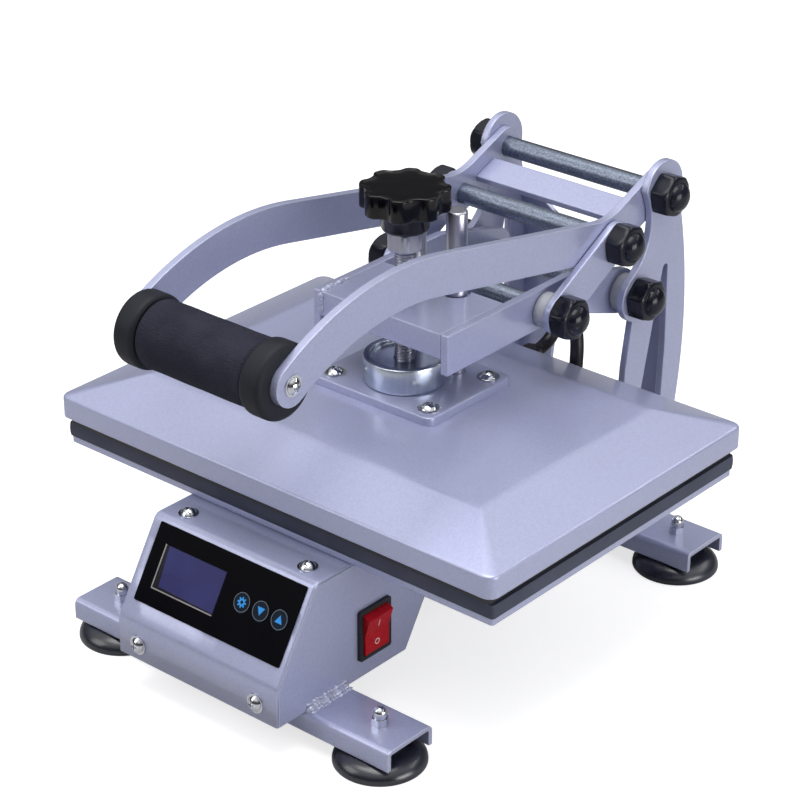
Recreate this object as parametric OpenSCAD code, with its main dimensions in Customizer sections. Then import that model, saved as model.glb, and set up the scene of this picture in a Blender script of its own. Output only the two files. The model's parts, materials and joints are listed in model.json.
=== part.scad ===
// Manual heat press: a toggle handle closes a heated platen on a padded lower plate.
// Millimetres, +Z up, +Y to the back; the origin is on the floor under the middle.

/* [Platen] */
// Width of the platen cover across the press
cover_w = 311; // [295:1:330]
// Depth of the platen cover from front to back
cover_d = 219.5; // [208:0.5:235]
// Height of the cover's upright skirt
skirt_h = 12.5; // [9:0.5:18]
// Width of the sloping band round the flat top
slope_w = 37; // [30:1:44]
// Rise of the sloping band
slope_rise = 12; // [10:0.5:16]
// Corner radius of the cover
cover_r = 6; // [3:0.5:10]
// Thickness of the cover sheet
cover_t = 2; // [1.2:0.1:3]
// Gap between the heating plate's edge and the cover
heat_gap = 2; // [1:0.5:4]
// Thickness of the heating plate
heat_t = 10; // [8:0.5:12]
// How far the heating plate hangs below the skirt
heat_drop = 5; // [2:0.5:7]
// Diameter of the bent heating element
element_d = 8; // [6:0.5:9]
// Length of the element's straight runs
element_run = 190; // [150:5:210]
// Thickness of the insulation blanket
blanket_t = 4; // [3:0.5:5]

/* [Flange and pressure screw] */
// Width of the flange plate on the platen
flange_w = 86; // [80:1:96]
// Depth of the flange plate
flange_d = 71; // [66:1:80]
// Thickness of the flange plate
flange_t = 5; // [4:0.5:7]
// Distance between the flange screws across the press
flange_pitch_x = 68; // [62:1:72]
// Distance between the flange screws from front to back
flange_pitch_y = 51; // [48:1:56]
// Distance of the flange's middle behind the screw axis
flange_back = 5.5; // [2:0.5:8]
// Distance of the screw axis behind the platen's middle
screw_y = 6.5; // [0:0.5:12]
// Diameter of the pressure screw
screw_d = 12; // [10:0.5:12]
// Diameter of the pressure puck
puck_d = 46.5; // [42:0.5:47]
// Height of the pressure puck
puck_h = 15.5; // [13:0.5:18]
// Depth of the recess in the puck's top
recess_h = 8; // [7:0.5:9]
// Diameter of a guide post
post_d = 12; // [8:0.5:12]
// Distance of a guide post from the middle plane
post_x = 14.5; // [13.5:0.5:18]
// Distance of the guide posts behind the screw axis
post_back = 26; // [26:0.5:28]
// Height of the guide posts above the flange
post_h = 96; // [85:1:97]
// Diameter of the star knob over its lobes
knob_d = 50; // [44:0.5:56]
// Diameter of the star knob's disc between its lobes
knob_valley_d = 43.4; // [41:0.2:46]
// Diameter of one lobe
lobe_d = 14; // [12:0.5:16]
// Height of the star
knob_h = 13.5; // [10:0.5:18]
// Diameter of the knob's hub
hub_d = 26.5; // [24:0.5:32]
// Height of the knob's hub
hub_h = 12; // [8:0.5:16]
// Number of lobes on the star knob
knob_lobes = 8; // [5:1:9]
// Distance of the hub above the flange
hub_rise = 89.4; // [86:0.2:94]
// Height of the jam nut under the knob
jam_h = 11; // [8:0.5:12]
// Width across the flats of the jam nut
jam_af = 19; // [17:0.5:22]

/* [Press arm and linkage] */
// Distance between the outer faces of the press arm
arm_w = 96; // [90:1:98]
// Height of the press arm's sides
arm_h = 23.5; // [21:0.5:26]
// Thickness of the press arm's plates
arm_t = 5; // [4:0.5:6]
// Clear height between the puck and the press arm
arm_clear = 8.5; // [8.5:0.5:14]
// Distance of the arm's front face ahead of the screw
arm_nose = 21.5; // [18:0.5:26]
// Length of the arm's top plate
arm_top_len = 53; // [53:1:58]
// Height of the folded front of the top plate
arm_front_h = 14.5; // [10:0.5:16]
// Distance of the rear pivot behind the platen cover
column_gap = 30.6; // [28:0.2:34]
// Distance of the link pin ahead of the rear pivot
pin_ahead = 72.5; // [68:0.5:74]
// Height of the link pin above the arm's lower edge
pin_rise = 11; // [10:0.1:12.5]
// Drop of the rear pivot below the arm's lower edge
rear_drop = 3; // [1:0.1:4]
// Distance of the top pivot behind the rear pivot
top_back = 19; // [17:0.5:20]
// Height of the top pivot above the rear pivot
top_rise = 58; // [57:0.5:62]
// Distance of the handle pin ahead of the top pivot
knee_ahead = 41.5; // [40:0.5:43]
// Drop of the handle pin below the top pivot
knee_drop = 17; // [16:0.5:18]
// Diameter of the pivot rods
rod_d = 12; // [8:0.5:12]
// Width of a link
link_w = 23; // [20:0.5:25]
// Radius of the press arm's rear end
tail_r = 13.5; // [12:0.5:14.5]

/* [Handle] */
// Distance between the inner faces of the handle arms
handle_gap = 102; // [101:0.5:108]
// Thickness of a handle arm
handle_t = 4.5; // [3.5:0.5:6]
// Width of a handle arm
handle_w = 23; // [20:0.5:25]
// Distance of the grip ahead of the top pivot
grip_ahead = 302; // [290:1:315]
// Distance of the bow's crown ahead of the top pivot
crown_ahead = 218.5; // [210:0.5:225]
// Height of the bow's crown above the top pivot
crown_rise = 13.9; // [11:0.1:16]
// Radius of the bow along its middle line
bow_r = 160; // [150:1:180]
// Radius of the valley ahead of the top pivot
valley_r = 40; // [20:1:45]
// Diameter of the foam grip
grip_d = 37.5; // [32:0.5:40]
// Diameter of the grip's end collars
collar_d = 41; // [41:0.5:46]
// Length of a grip collar
collar_len = 14; // [10:0.5:20]
// Diameter of the grip's steel rod
grip_rod_d = 16; // [12:0.5:20]
// Width of the plate that ties the handle arms
tie_w = 18; // [14:0.5:19]

/* [Uprights and pivot caps] */
// Thickness of an upright or a link
frame_t = 4.5; // [3.5:0.5:7]
// Radius of an upright's head
head_r = 17.5; // [16:0.5:19]
// Radius of an upright's ear at the rear pivot
ear_r = 15; // [13:0.5:15]
// Distance of an upright's back edge behind the rear pivot
upright_back = 47.5; // [45:0.5:52]
// Radius of an upright's bowed back edge
back_r = 300; // [280:5:340]
// Radius of the hollow in an upright's front edge
hollow_r = 35; // [33:0.5:37]
// Width of a pivot cap across its flats
cap_af = 22.5; // [20:0.5:24]
// Length of a pivot cap's hexagon
cap_hex_h = 11; // [9:0.5:14]
// Height of a pivot cap's dome
cap_dome_h = 5.5; // [3:0.5:7]

/* [Base] */
// How far the lower plate's sides stand in from the platen cover's
lower_in_x = 3; // [1:0.5:8]
// How far the lower plate's front and back stand in from the platen cover's
lower_in_y = 5; // [2:0.5:8]
// Thickness of the lower plate
lower_t = 4.4; // [3:0.2:8]
// Inset of the silicone pad from the lower plate's edge
pad_inset = 1; // [0.5:0.5:4]
// Thickness of the silicone pad
pad_t = 8; // [6:0.5:12]
// Length of a crossbar
bar_len = 232; // [222:1:260]
// Width of a crossbar
bar_w = 35; // [32:0.5:42]
// Height of a crossbar's flanges
bar_h = 12; // [10:0.5:13]
// Thickness of the crossbar sheet
bar_t = 2.5; // [2:0.1:3]
// Height of the crossbars' top face above the floor
bar_top = 22; // [20:0.5:24]
// Distance of the rear crossbar's middle behind the rear pivot
bar_behind = -0.5; // [-3:0.5:4]
// Distance of a foot from the middle plane
foot_x = 95.5; // [90:0.5:97]
// Diameter of a suction foot
foot_d = 52; // [46:1:54]
// Diameter of a foot's stud
stud_d = 5; // [4:0.5:5.5]
// Height of a stud above its crossbar
stud_up = 8; // [6:0.5:9]
// Width of the base spine
spine_w = 36; // [30:1:38]
// Width of the rear pedestal
pedestal_w = 90; // [76:1:100]
// Depth of the rear pedestal
pedestal_d = 42; // [30:1:50]
// Distance of the pedestal ahead of the lower plate's rear edge
pedestal_in = 9; // [6:0.5:14]
// Thickness of the pedestal sheet
pedestal_t = 3; // [2:0.5:4]

/* [Control box] */
// Width of the control box
box_w = 117; // [112:1:126]
// Height of the control box
box_h = 72.4; // [70:0.2:80]
// Distance of the box's top front edge ahead of the platen cover
box_top_ahead = 21.5; // [20:0.5:28]
// Run of the sloping panel from front to back
slope_run = 31.5; // [28:0.5:36]
// Height of the upright lip under the panel
lip_h = 21; // [17:0.5:24]
// Depth of the box's floor
box_floor = 101.5; // [95:0.5:110]
// Distance of the front crossbar's middle behind the box's front
bar_inside = 38; // [34:0.5:44]
// Thickness of the box's sheet metal
sheet_t = 1.5; // [1:0.1:2]
// Distance of the top screws behind the box's top front edge
top_screw_back = 10; // [8:0.5:12]
// Distance of the cover screws from the middle plane
cover_screw_x = 43.3; // [40:0.1:48]
// Height of the lip screws above the box's floor
lip_screw_up = 9.5; // [7:0.5:12]
// Width of the panel facia
facia_w = 106; // [104:1:108]
// Height of the panel facia along the slope
facia_h = 44.5; // [42:0.5:46]
// Distance of the facia from the slope's top edge
facia_from_top = 3; // [2:0.5:5]
// Distance of the facia's middle right of the middle plane
facia_right = 1.3; // [0:0.1:2]
// Thickness of the facia
facia_t = 0.8; // [0.5:0.1:1.2]
// Width of the display
lcd_w = 45; // [40:0.5:46]
// Height of the display
lcd_h = 24.7; // [20:0.1:27]
// Distance of the display's middle left of the middle plane
lcd_left = 20.5; // [20.5:0.5:24]
// Diameter of a panel button
button_d = 11; // [8:0.5:11]
// Distance between the panel buttons
button_pitch = 13.3; // [12:0.05:13.6]
// Distance of the first button right of the middle plane
button_right = 18; // [16:0.5:18]
// Travel of a panel button
button_travel = 0.5; // [0.3:0.1:0.6]
// Width of the power switch's bezel
switch_w = 25; // [23:0.5:28]
// Height of the power switch's bezel
switch_h = 30.5; // [29:0.5:33]
// Height of the switch's middle above the box's floor
switch_up = 26; // [24:0.5:30]
// Distance of the switch's middle behind the box's front
switch_back = 75; // [70:0.5:80]
// Diameter of the mains cord's opening in its gland
mains_bore_d = 8; // [6:0.5:9]

/* [Heater cable] */
// Diameter of the heater cable
cable_d = 8; // [6:0.5:9]

/* [Hidden] */
$fn = 64;

// Clearances
side_gap = 0.3;
run_gap = 0.06;
seat_gap = 0.02;
press_gap = 0.3;
fit_gap = 0.3;
thrust_gap = 0.1;

// Fasteners
pan_h = 3.5;
pan_d = 9;
pan_drive = 1.4;
washer_t = 0.7;
washer_rim = 1.3;
shank_d = 5;
small_pan_d = 8.5;
small_shank_d = 4;
nut_af = 8;
nut_h = 4.5;
nut_crown_d = 7.4;

// Levels from the floor up
plate_z = bar_top + box_h;
pad_z = plate_z + lower_t;
heat_z = pad_z + pad_t + press_gap;
heat_top_z = heat_z + heat_t;
skirt_z = heat_z + heat_drop;
brow_z = skirt_z + skirt_h;
top_z = brow_z + slope_rise;
flange_top_z = top_z + flange_t;
recess_z = flange_top_z + puck_h - recess_h;
arm_z = flange_top_z + puck_h + arm_clear;
arm_top_z = arm_z + arm_h;
hub_z = flange_top_z + hub_rise;
jam_z = hub_z - jam_h;

// Places from front to back, about the platen's middle
column_y = cover_d / 2 + column_gap;
rear_pivot = [column_y, arm_z - rear_drop];
link_pin = [column_y - pin_ahead, arm_z + pin_rise];
top_pivot = rear_pivot + [top_back, top_rise];
knee = top_pivot - [knee_ahead, knee_drop];
rear_bar_y = column_y + bar_behind;
box_top_y = -cover_d / 2 - box_top_ahead;
box_front_y = box_top_y - slope_run;
box_rear_y = box_front_y + box_floor;
front_bar_y = box_front_y + bar_inside;
bend_z = bar_top + lip_h;
flange_y = screw_y + flange_back;
post_y = screw_y + post_back;
arm_front_y = screw_y - arm_nose;
y_back = column_y + upright_back;
y_front = box_front_y - pan_h;
y_mid = (y_front + y_back) / 2;

lower_d = cover_d - 2 * lower_in_y;

// Places across the press
lower_w = cover_w - 2 * lower_in_x;
arm_out = arm_w / 2;
arm_in = arm_out - arm_t;
handle_in = handle_gap / 2;
handle_out = handle_in + handle_t;
frame_in = handle_out + side_gap;
frame_out = frame_in + frame_t;
cap_bore_h = 9;
rod_end = frame_out + cap_bore_h - seat_gap;

// Handle bow, whose straight part is a tangent from the bow to the knee
bow_mid = top_pivot + [-crown_ahead, crown_rise - bow_r];
bow_to_knee = knee - bow_mid;
straight_tilt = atan2(bow_to_knee[0], bow_to_knee[1]) - acos(bow_r / norm(bow_to_knee));
bow_end = bow_mid + bow_r * [sin(straight_tilt), cos(straight_tilt)];
grip_run = grip_ahead - crown_ahead;
grip_tilt = asin(grip_run / bow_r);
grip = bow_mid + bow_r * [-sin(grip_tilt), cos(grip_tilt)];
tail_tilt = atan2(knee_drop, knee_ahead);

// Control box
slope_rise_box = plate_z - bend_z;
slope_tilt = atan2(slope_run, slope_rise_box);
box_rear_top_y = box_rear_y + box_h * slope_run / slope_rise_box;
box_profile = [
    [box_rear_top_y, plate_z], [box_top_y, plate_z], [box_front_y, bend_z],
    [box_front_y, bar_top], [box_rear_y, bar_top]
];
box_inner = inset(box_profile, sheet_t);
rear_under_top = [box_rear_top_y - sheet_t * tan(slope_tilt), plate_z - sheet_t];
facia_mid = facia_from_top + facia_h / 2;
lcd_mid = facia_mid + 0.4;
button_mid = facia_mid - 0.4;
board_t = 1.6;
board_gap = 8.4;
board_w = facia_w - 8;
board_h = facia_h - 4;
board_lead = 2;
key_h = 1.8;
standoff_d = 5;
standoff_in = 3.5;
lcd_sink = 0.4;
button_proud = 0.2;
button_h = 3;
stem_d = 3;
switch_z = bar_top + switch_up;
switch_y = box_front_y + switch_back;
bezel_t = 2;
switch_wall = 1.5;
rocker_w = switch_w - 6;
rocker_r = (switch_h - 5) / 2 - fit_gap;
rocker_tilt = 16;
rocker_face = 4;
rocker_pin_d = 3;
rocker_x = box_w / 2 - 1;
mains_y = switch_y;
mains_z = switch_z;
gland_d = 18;
gland_flange_d = 24;
gland_len = 22;
gland_neck_d = 14;

// Heater cable: gland on the cover, arch behind it, fairlead, gland on the box
cable_x = 4;
platen_gland_d = 13;
platen_gland_len = 10;
cable_out_y = cover_d / 2 + platen_gland_len;
cable_out_z = skirt_z + skirt_h / 2;
pedestal_rear_y = lower_d / 2 - pedestal_in;
fairlead_x = 22;
fairlead_z = bar_top + box_h * 0.73;
box_gland_x = 20;
box_gland_up = 28;
box_gland_mid = [
    box_gland_x,
    box_rear_y + box_gland_up * slope_run / slope_rise_box,
    bar_top + box_gland_up
];
box_gland_len = 12;
box_gland_d = 14;
box_gland_dir = [0, cos(slope_tilt), -sin(slope_tilt)];
box_gland_bore = 8;
box_gland_out = box_gland_mid + box_gland_len * box_gland_dir;
cable_end = box_gland_out - (box_gland_bore - seat_gap) * box_gland_dir;
behind = [0, cable_out_y, cable_out_z];
fairlead = [fairlead_x, pedestal_rear_y, fairlead_z];
fall = fairlead_z - box_gland_out[2];
back = pedestal_rear_y - pedestal_d - box_gland_out[1];
sag = [box_gland_x, box_gland_out[1], box_gland_out[2]];
arch = [
    behind + [cable_x, fit_gap, 0], behind + [4, 5, 0.4], behind + [4.2, 10.8, 2.6],
    behind + [4.6, 15.6, 7], behind + [5.2, 18, 13], behind + [6.8, 17.8, 20],
    behind + [10.8, 15.2, 26.6], behind + [16.6, 11.2, 30.6], behind + [23, 6.8, 30.8],
    behind + [29, 2.4, 27.2], behind + [33, -0.6, 21], behind + [35, -2.2, 13.6],
    behind + [35.5, -3, 5.5], behind + [35.5, -3.6, -3.2], fairlead + [13.3, 20.2, 31.8],
    fairlead + [12.8, 19.4, 23.4], fairlead + [11.2, 17.4, 15.6], fairlead + [8.6, 14, 9],
    fairlead + [5.4, 9.8, 4], fairlead + [2.4, 5, 1.1], fairlead - [0, 0.8, 0],
    fairlead - [0.5, 8.5, 0.6], fairlead - [0.6, 16, 2], fairlead - [1, 32, 7.5],
    sag + [1, 0.85 * back, 0.66 * fall - 9], sag + [0.6, 0.6 * back, 0.3 * fall - 12],
    sag + [0.3, 0.37 * back, -12], sag + 20 * box_gland_dir + [0, 0, 2],
    sag + 10 * box_gland_dir, cable_end
];

// Colours of the finishes
paint = [0.66, 0.66, 0.76];
zinc = [0.72, 0.74, 0.76];
chrome = [0.85, 0.85, 0.87];
black = [0.06, 0.06, 0.07];
rubber = [0.12, 0.12, 0.13];
slate = [0.2, 0.21, 0.25];

function unit(v) = v / norm(v);

// Points of an outline moved inwards by t, with the outline running anticlockwise
function inset(pts, t) = [
    for (i = [0 : len(pts) - 1])
        let (
            before = unit(pts[i] - pts[(i + len(pts) - 1) % len(pts)]),
            after = unit(pts[(i + 1) % len(pts)] - pts[i]),
            n1 = [-before[1], before[0]],
            n2 = [-after[1], after[0]]
        )
        pts[i] + t * (n1 + n2) / (1 + n1 * n2)
];

// Point where a line from p touches the circle round c, on the side given by turn
function touch(p, c, r, turn) =
    let (v = p - c, a = atan2(v[1], v[0]) + turn * acos(r / norm(v)))
    c + r * [cos(a), sin(a)];

// Directions along a cable, and the normals carried along it without twist
function heading(p, i) = unit(p[min(i + 1, len(p) - 1)] - p[max(i - 1, 0)]);
function carried(p, i, n) =
    i == len(p) ? [] :
    let (t = heading(p, i), m = unit(n - (n * t) * t))
    concat([m], carried(p, i + 1, m));

// The press is drawn about the platen's middle and set into its own frame here
module placed() { translate([0, -y_mid, 0]) children(); }

module both_sides() {
    children();
    mirror([1, 0, 0]) children();
}

// An outline in (y, z) made a plate from x outwards
module plate_at(x, t) {
    translate([x, 0, 0]) rotate([90, 0, 90]) linear_extrude(t) children();
}

// A round bar across the press from x0 to x1, at (y, z)
module cross_bar(p, d, x0, x1) {
    translate([x0, p[0], p[1]]) rotate([0, 90, 0]) cylinder(d = d, h = x1 - x0);
}

module rounded_rect(w, d, r) {
    square([w - 2 * r, d], center = true);
    square([w, d - 2 * r], center = true);
    for (x = [-1, 1], y = [-1, 1])
        translate([x * (w / 2 - r), y * (d / 2 - r)]) circle(r);
}

// A strip of width w from p to q with square ends, and one with round ends
module bar(p, q, w) {
    run = q - p;
    translate(p) rotate(atan2(run[1], run[0])) translate([0, -w / 2]) square([norm(run), w]);
}

module strip(p, q, w) {
    bar(p, q, w);
    translate(p) circle(d = w);
    translate(q) circle(d = w);
}

// The fillet in an inner corner between two edges that leave p along a and b, sunk a little into both
module corner_fillet(p, a, b, r) {
    half = acos(a * b) / 2;
    up = unit(a + b);
    middle = p + up * (r / sin(half) - seat_gap);
    from = p + b * r / tan(half) - middle;
    sweep = 180 - 2 * half;
    steps = 12;
    polygon(concat([p - 4 * up], [
        for (i = [0 : steps])
            let (t = atan2(from[1], from[0]) - sweep * i / steps)
            middle + r * [cos(t), sin(t)]
    ]));
}

// A screw with a domed cross-slot head and a captive washer
module pan_screw(d, shank, length) {
    crown_r = 0.6 * d;
    cylinder(d = d + 2 * washer_rim, h = washer_t);
    difference() {
        intersection() {
            cylinder(d = d, h = pan_h);
            translate([0, 0, pan_h - crown_r]) sphere(crown_r);
        }
        for (turn = [0, 90])
            rotate(turn) translate([-d / 4, -d / 16, pan_h - pan_drive]) cube([d / 2, d / 8, pan_h]);
    }
    translate([0, 0, -length]) cylinder(d = shank, h = length);
}

module hex(af, h) { cylinder(d = af / cos(30), h = h, $fn = 6); }

// Crossbars, spine and feet

// Folded channel, open below, with bent upper edges
module channel_outline(w, h, t) {
    bend = t + 1;
    difference() {
        bent_top(w, h, bend);
        translate([0, -t]) bent_top(w - 2 * t, h, bend - t);
    }
}

module bent_top(w, h, r) {
    translate([-w / 2, 0]) square([w, h - r]);
    translate([-w / 2 + r, 0]) square([w - 2 * r, h]);
    for (x = [-1, 1]) translate([x * (w / 2 - r), h - r]) circle(r);
}

module crossbar(y) {
    difference() {
        translate([-bar_len / 2, y, bar_top - bar_h])
            rotate([90, 0, 90]) linear_extrude(bar_len) channel_outline(bar_w, bar_h, bar_t);
        for (x = [-foot_x, foot_x])
            translate([x, y, bar_top - 2 * bar_t]) cylinder(d = stud_d + 2 * fit_gap, h = 4 * bar_t);
    }
}

module front_crossbar() { color(paint) placed() crossbar(front_bar_y); }

module rear_crossbar() { color(paint) placed() crossbar(rear_bar_y); }

module base_spine() {
    y0 = front_bar_y + bar_w / 2;
    y1 = rear_bar_y - bar_w / 2;
    color(paint) placed() translate([0, y1, bar_top - bar_h])
        rotate([90, 0, 0]) linear_extrude(y1 - y0) channel_outline(spine_w, bar_h, bar_t);
}

module at_feet() {
    for (x = [-foot_x, foot_x], y = [front_bar_y, rear_bar_y]) translate([x, y, 0]) children();
}

// A rubber cup with an upright rim and a round shoulder under the channel, and a neck up into it
foot_top = bar_top - bar_t;
foot_brow = bar_top - bar_h - fit_gap;
foot_neck_d = 24;
foot_rim = 2.5;
shoulder_r = foot_brow - foot_rim;
cup_r = 30;
cup_depth = 5;
stud_seat = 9;

module suction_feet() {
    color(rubber) placed() at_feet() difference() {
        rotate_extrude() difference() {
            union() {
                square([foot_d / 2, foot_rim]);
                square([foot_d / 2 - shoulder_r, foot_brow]);
                translate([foot_d / 2 - shoulder_r, foot_rim]) intersection() {
                    circle(shoulder_r);
                    square(shoulder_r);
                }
                square([foot_neck_d / 2, foot_top]);
            }
            translate([0, cup_depth - cup_r]) circle(cup_r);
        }
        translate([0, 0, stud_seat]) cylinder(d = stud_d + 2 * seat_gap, h = foot_top);
    }
}

module foot_studs() {
    color(chrome) placed() at_feet()
        translate([0, 0, stud_seat]) cylinder(d = stud_d, h = bar_top + stud_up - stud_seat);
}

// Cap nuts, whose round crown closes over the stud's end
module foot_nuts() {
    crown_z = stud_up - 1;
    color(chrome) placed() at_feet() translate([0, 0, bar_top]) difference() {
        union() {
            hex(nut_af, nut_h);
            cylinder(d = nut_crown_d, h = crown_z);
            translate([0, 0, crown_z]) sphere(d = nut_crown_d);
        }
        translate([0, 0, -1]) cylinder(d = stud_d + 2 * seat_gap, h = 1 + stud_up + seat_gap);
    }
}

// Folded stand under the back of the lower plate
module rear_pedestal() {
    y0 = pedestal_rear_y - pedestal_d;
    color(paint) placed() difference() {
        translate([-pedestal_w / 2, y0, bar_top]) cube([pedestal_w, pedestal_d, box_h]);
        translate([-pedestal_w / 2 + pedestal_t, y0 - pedestal_t, bar_top + pedestal_t])
            cube([pedestal_w - 2 * pedestal_t, pedestal_d, box_h - 2 * pedestal_t]);
        translate([fairlead_x, pedestal_rear_y + 1, fairlead_z])
            rotate([90, 0, 0]) cylinder(d = cable_d + 4 * fit_gap, h = pedestal_t + 2);
    }
}

// Uprights

upright_foot = 16;
// The slot runs round these circles, placed from the rear pivot
slot_at = [[25.8, 9.4], [23, -40], [13, -62], [20, -106], [10, -106]];
slot_r = [2.4, 6, 6, 6, 6];
head_mid = top_pivot + [2.5, 1];
hollow_mid = top_pivot - [44.2, 15];

module upright_outline() {
    difference() {
        union() {
            intersection() {
                polygon([
                    [rear_bar_y - upright_foot, bar_top], [rear_bar_y + upright_foot, bar_top],
                    [y_back, rear_pivot[1] - 90], [y_back, rear_pivot[1]],
                    top_pivot + [40, 0], [top_pivot[0] - 12, top_pivot[1]], hollow_mid,
                    rear_pivot + [-7.5, 12], rear_pivot + [-4.5, -13], rear_pivot + [-9.5, -42]
                ]);
                translate([y_back - back_r, rear_pivot[1] - 29]) circle(back_r, $fn = 256);
            }
            translate(head_mid) circle(head_r);
            translate(rear_pivot) circle(ear_r);
        }
        translate(hollow_mid) circle(hollow_r);
        hull() for (i = [0 : len(slot_at) - 1])
            translate(rear_pivot + slot_at[i]) circle(slot_r[i], $fn = 32);
        for (p = [top_pivot, rear_pivot]) translate(p) circle(d = rod_d + 2 * seat_gap);
    }
}

module upright_right() { color(paint) placed() plate_at(frame_in, frame_t) upright_outline(); }

module upright_left() {
    color(paint) placed() plate_at(-frame_out, frame_t) upright_outline();
}

// Lower plate and pad

module lower_plate() {
    color(paint) placed() translate([0, 0, plate_z])
        linear_extrude(lower_t) rounded_rect(lower_w, lower_d, 2);
}

module silicone_pad() {
    color(slate) placed() translate([0, 0, pad_z])
        linear_extrude(pad_t) rounded_rect(lower_w - 2 * pad_inset, lower_d - 2 * pad_inset, 2);
}

// Control box

// The panel's own frame: x across, y up the slope from its top edge, z outwards
module on_slope() {
    translate([0, box_top_y, plate_z]) rotate([90 - slope_tilt, 0, 0]) children();
}

module across(w) { translate([-w / 2, 0, 0]) plate_at(0, w) children(); }

module control_box_shell() {
    front = [box_front_y - 5, plate_z + 5];
    body = [
        rear_under_top, box_inner[1], box_inner[2],
        [box_front_y + sheet_t, bar_top], [box_rear_y, bar_top]
    ];
    color(paint) placed() difference() {
        across(box_w) polygon(body);
        across(box_w - 2 * sheet_t) polygon([
            box_inner[0] + 5 * unit(box_inner[0] - box_inner[4]), front,
            [front[0], box_inner[3][1]], box_inner[4]
        ]);
        translate([box_w / 2 - 5, switch_y, switch_z]) switch_body(10, switch_w - 3 + 2 * fit_gap);
        translate([-box_w / 2 - 5, mains_y, mains_z])
            rotate([0, 90, 0]) cylinder(d = gland_d + 2 * seat_gap, h = 10);
        translate(box_gland_mid) rotate([90 - slope_tilt, 0, 0])
            translate([0, 0, -5]) cylinder(d = gland_neck_d - 4 + 2 * seat_gap, h = 10);
    }
}

module at_top_screws() {
    for (x = [-cover_screw_x, cover_screw_x])
        translate([x, box_top_y + top_screw_back, plate_z]) children();
}

module at_lip_screws() {
    for (x = [-cover_screw_x, cover_screw_x])
        translate([x, box_front_y, bar_top + lip_screw_up]) rotate([90, 0, 0]) children();
}

module at_buttons() {
    for (i = [0 : 2]) at_button(i) children();
}

module at_button(i) {
    translate([button_right + i * button_pitch, -button_mid, 0]) children();
}

module control_box_cover() {
    color(paint) placed() difference() {
        union() {
            across(box_w) polygon([
                box_profile[0], box_profile[1], box_profile[2], box_profile[3],
                box_profile[3] + [sheet_t, 0], box_inner[2], box_inner[1], rear_under_top
            ]);
            on_slope() for (x = [-1, 1], y = [-1, 1])
                translate([
                    x * (board_w / 2 - standoff_in), y * (board_h / 2 - standoff_in) - facia_mid,
                    -board_gap
                ]) cylinder(d = standoff_d, h = board_gap - sheet_t / 2);
        }
        at_top_screws() cylinder(d = small_shank_d + 2 * seat_gap, h = 10, center = true);
        at_lip_screws() cylinder(d = small_shank_d + 2 * seat_gap, h = 10, center = true);
        on_slope() {
            at_buttons() cylinder(d = button_d + 4 * fit_gap, h = 4 * sheet_t, center = true);
            translate([-lcd_left, -lcd_mid, 0])
                cube([lcd_w + fit_gap, lcd_h + fit_gap, 4 * sheet_t], center = true);
        }
    }
}

module cover_screws() {
    color(chrome) placed() {
        at_top_screws() pan_screw(small_pan_d, small_shank_d, 6);
        at_lip_screws() pan_screw(small_pan_d, small_shank_d, 6);
    }
}

module panel_facia() {
    color(black) placed() on_slope() difference() {
        translate([facia_right, -facia_mid, 0])
            linear_extrude(facia_t) rounded_rect(facia_w, facia_h, 1);
        at_buttons() cylinder(d = button_d + 2 * fit_gap, h = 4 * facia_t, center = true);
        translate([-lcd_left, -lcd_mid, 0]) cube([lcd_w, lcd_h, 4 * facia_t], center = true);
    }
}

module lcd_display() {
    color([0.22, 0.2, 0.42]) placed() on_slope()
        translate([-lcd_left, -lcd_mid, (facia_t - lcd_sink - board_gap) / 2])
            cube([lcd_w - fit_gap, lcd_h - fit_gap, board_gap + facia_t - lcd_sink], center = true);
}

module controller_board() {
    color("darkgreen") placed() on_slope() {
        translate([0, -facia_mid, -board_gap - board_t])
            linear_extrude(board_t) square([board_w, board_h], center = true);
        at_buttons() translate([-3, -3, -board_gap - seat_gap]) cube([6, 6, key_h]);
    }
}

module panel_button(i) {
    top = facia_t + button_proud;
    stem_end = key_h - board_gap + button_travel + thrust_gap;
    color([0.1, 0.3, 0.6]) placed() on_slope() at_button(i) {
        translate([0, 0, top - button_h]) cylinder(d = button_d, h = button_h);
        translate([0, 0, stem_end]) cylinder(d = stem_d, h = top - button_h / 2 - stem_end);
    }
}

module button_set() { panel_button(0); }

module button_down() { panel_button(1); }

module button_up() { panel_button(2); }

relay_size = [58, 45, 24];
relay_back = 20;

module power_relay() {
    color(black) placed()
        translate([-relay_size[0] / 2, box_front_y + relay_back, bar_top + sheet_t]) cube(relay_size);
}

// The switch's body without its bezel, centred on its own axis along x
module switch_body(depth, w) {
    translate([0, -w / 2, -(switch_h - 2) / 2]) cube([depth, w, switch_h - 2]);
}

module switch_housing() {
    depth = rocker_r + 4;
    mouth = rocker_w + 2 * fit_gap;
    color(black) placed() difference() {
        union() {
            translate([box_w / 2, switch_y, switch_z]) rotate([90, 0, 90])
                linear_extrude(bezel_t) rounded_rect(switch_w, switch_h, 1.5);
            translate([rocker_x - depth, switch_y, switch_z])
                switch_body(box_w / 2 - rocker_x + depth, switch_w - 3);
        }
        translate([rocker_x - depth + switch_wall, switch_y - mouth / 2, switch_z - rocker_r - fit_gap])
            cube([2 * depth, mouth, 2 * (rocker_r + fit_gap)]);
        cross_pin(rocker_pin_d + 2 * run_gap, mouth + 2);
    }
}

// A pin along y through the rocker's axis
module cross_pin(d, length) {
    translate([rocker_x, switch_y + length / 2, switch_z]) rotate([90, 0, 0]) cylinder(d = d, h = length);
}

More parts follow.
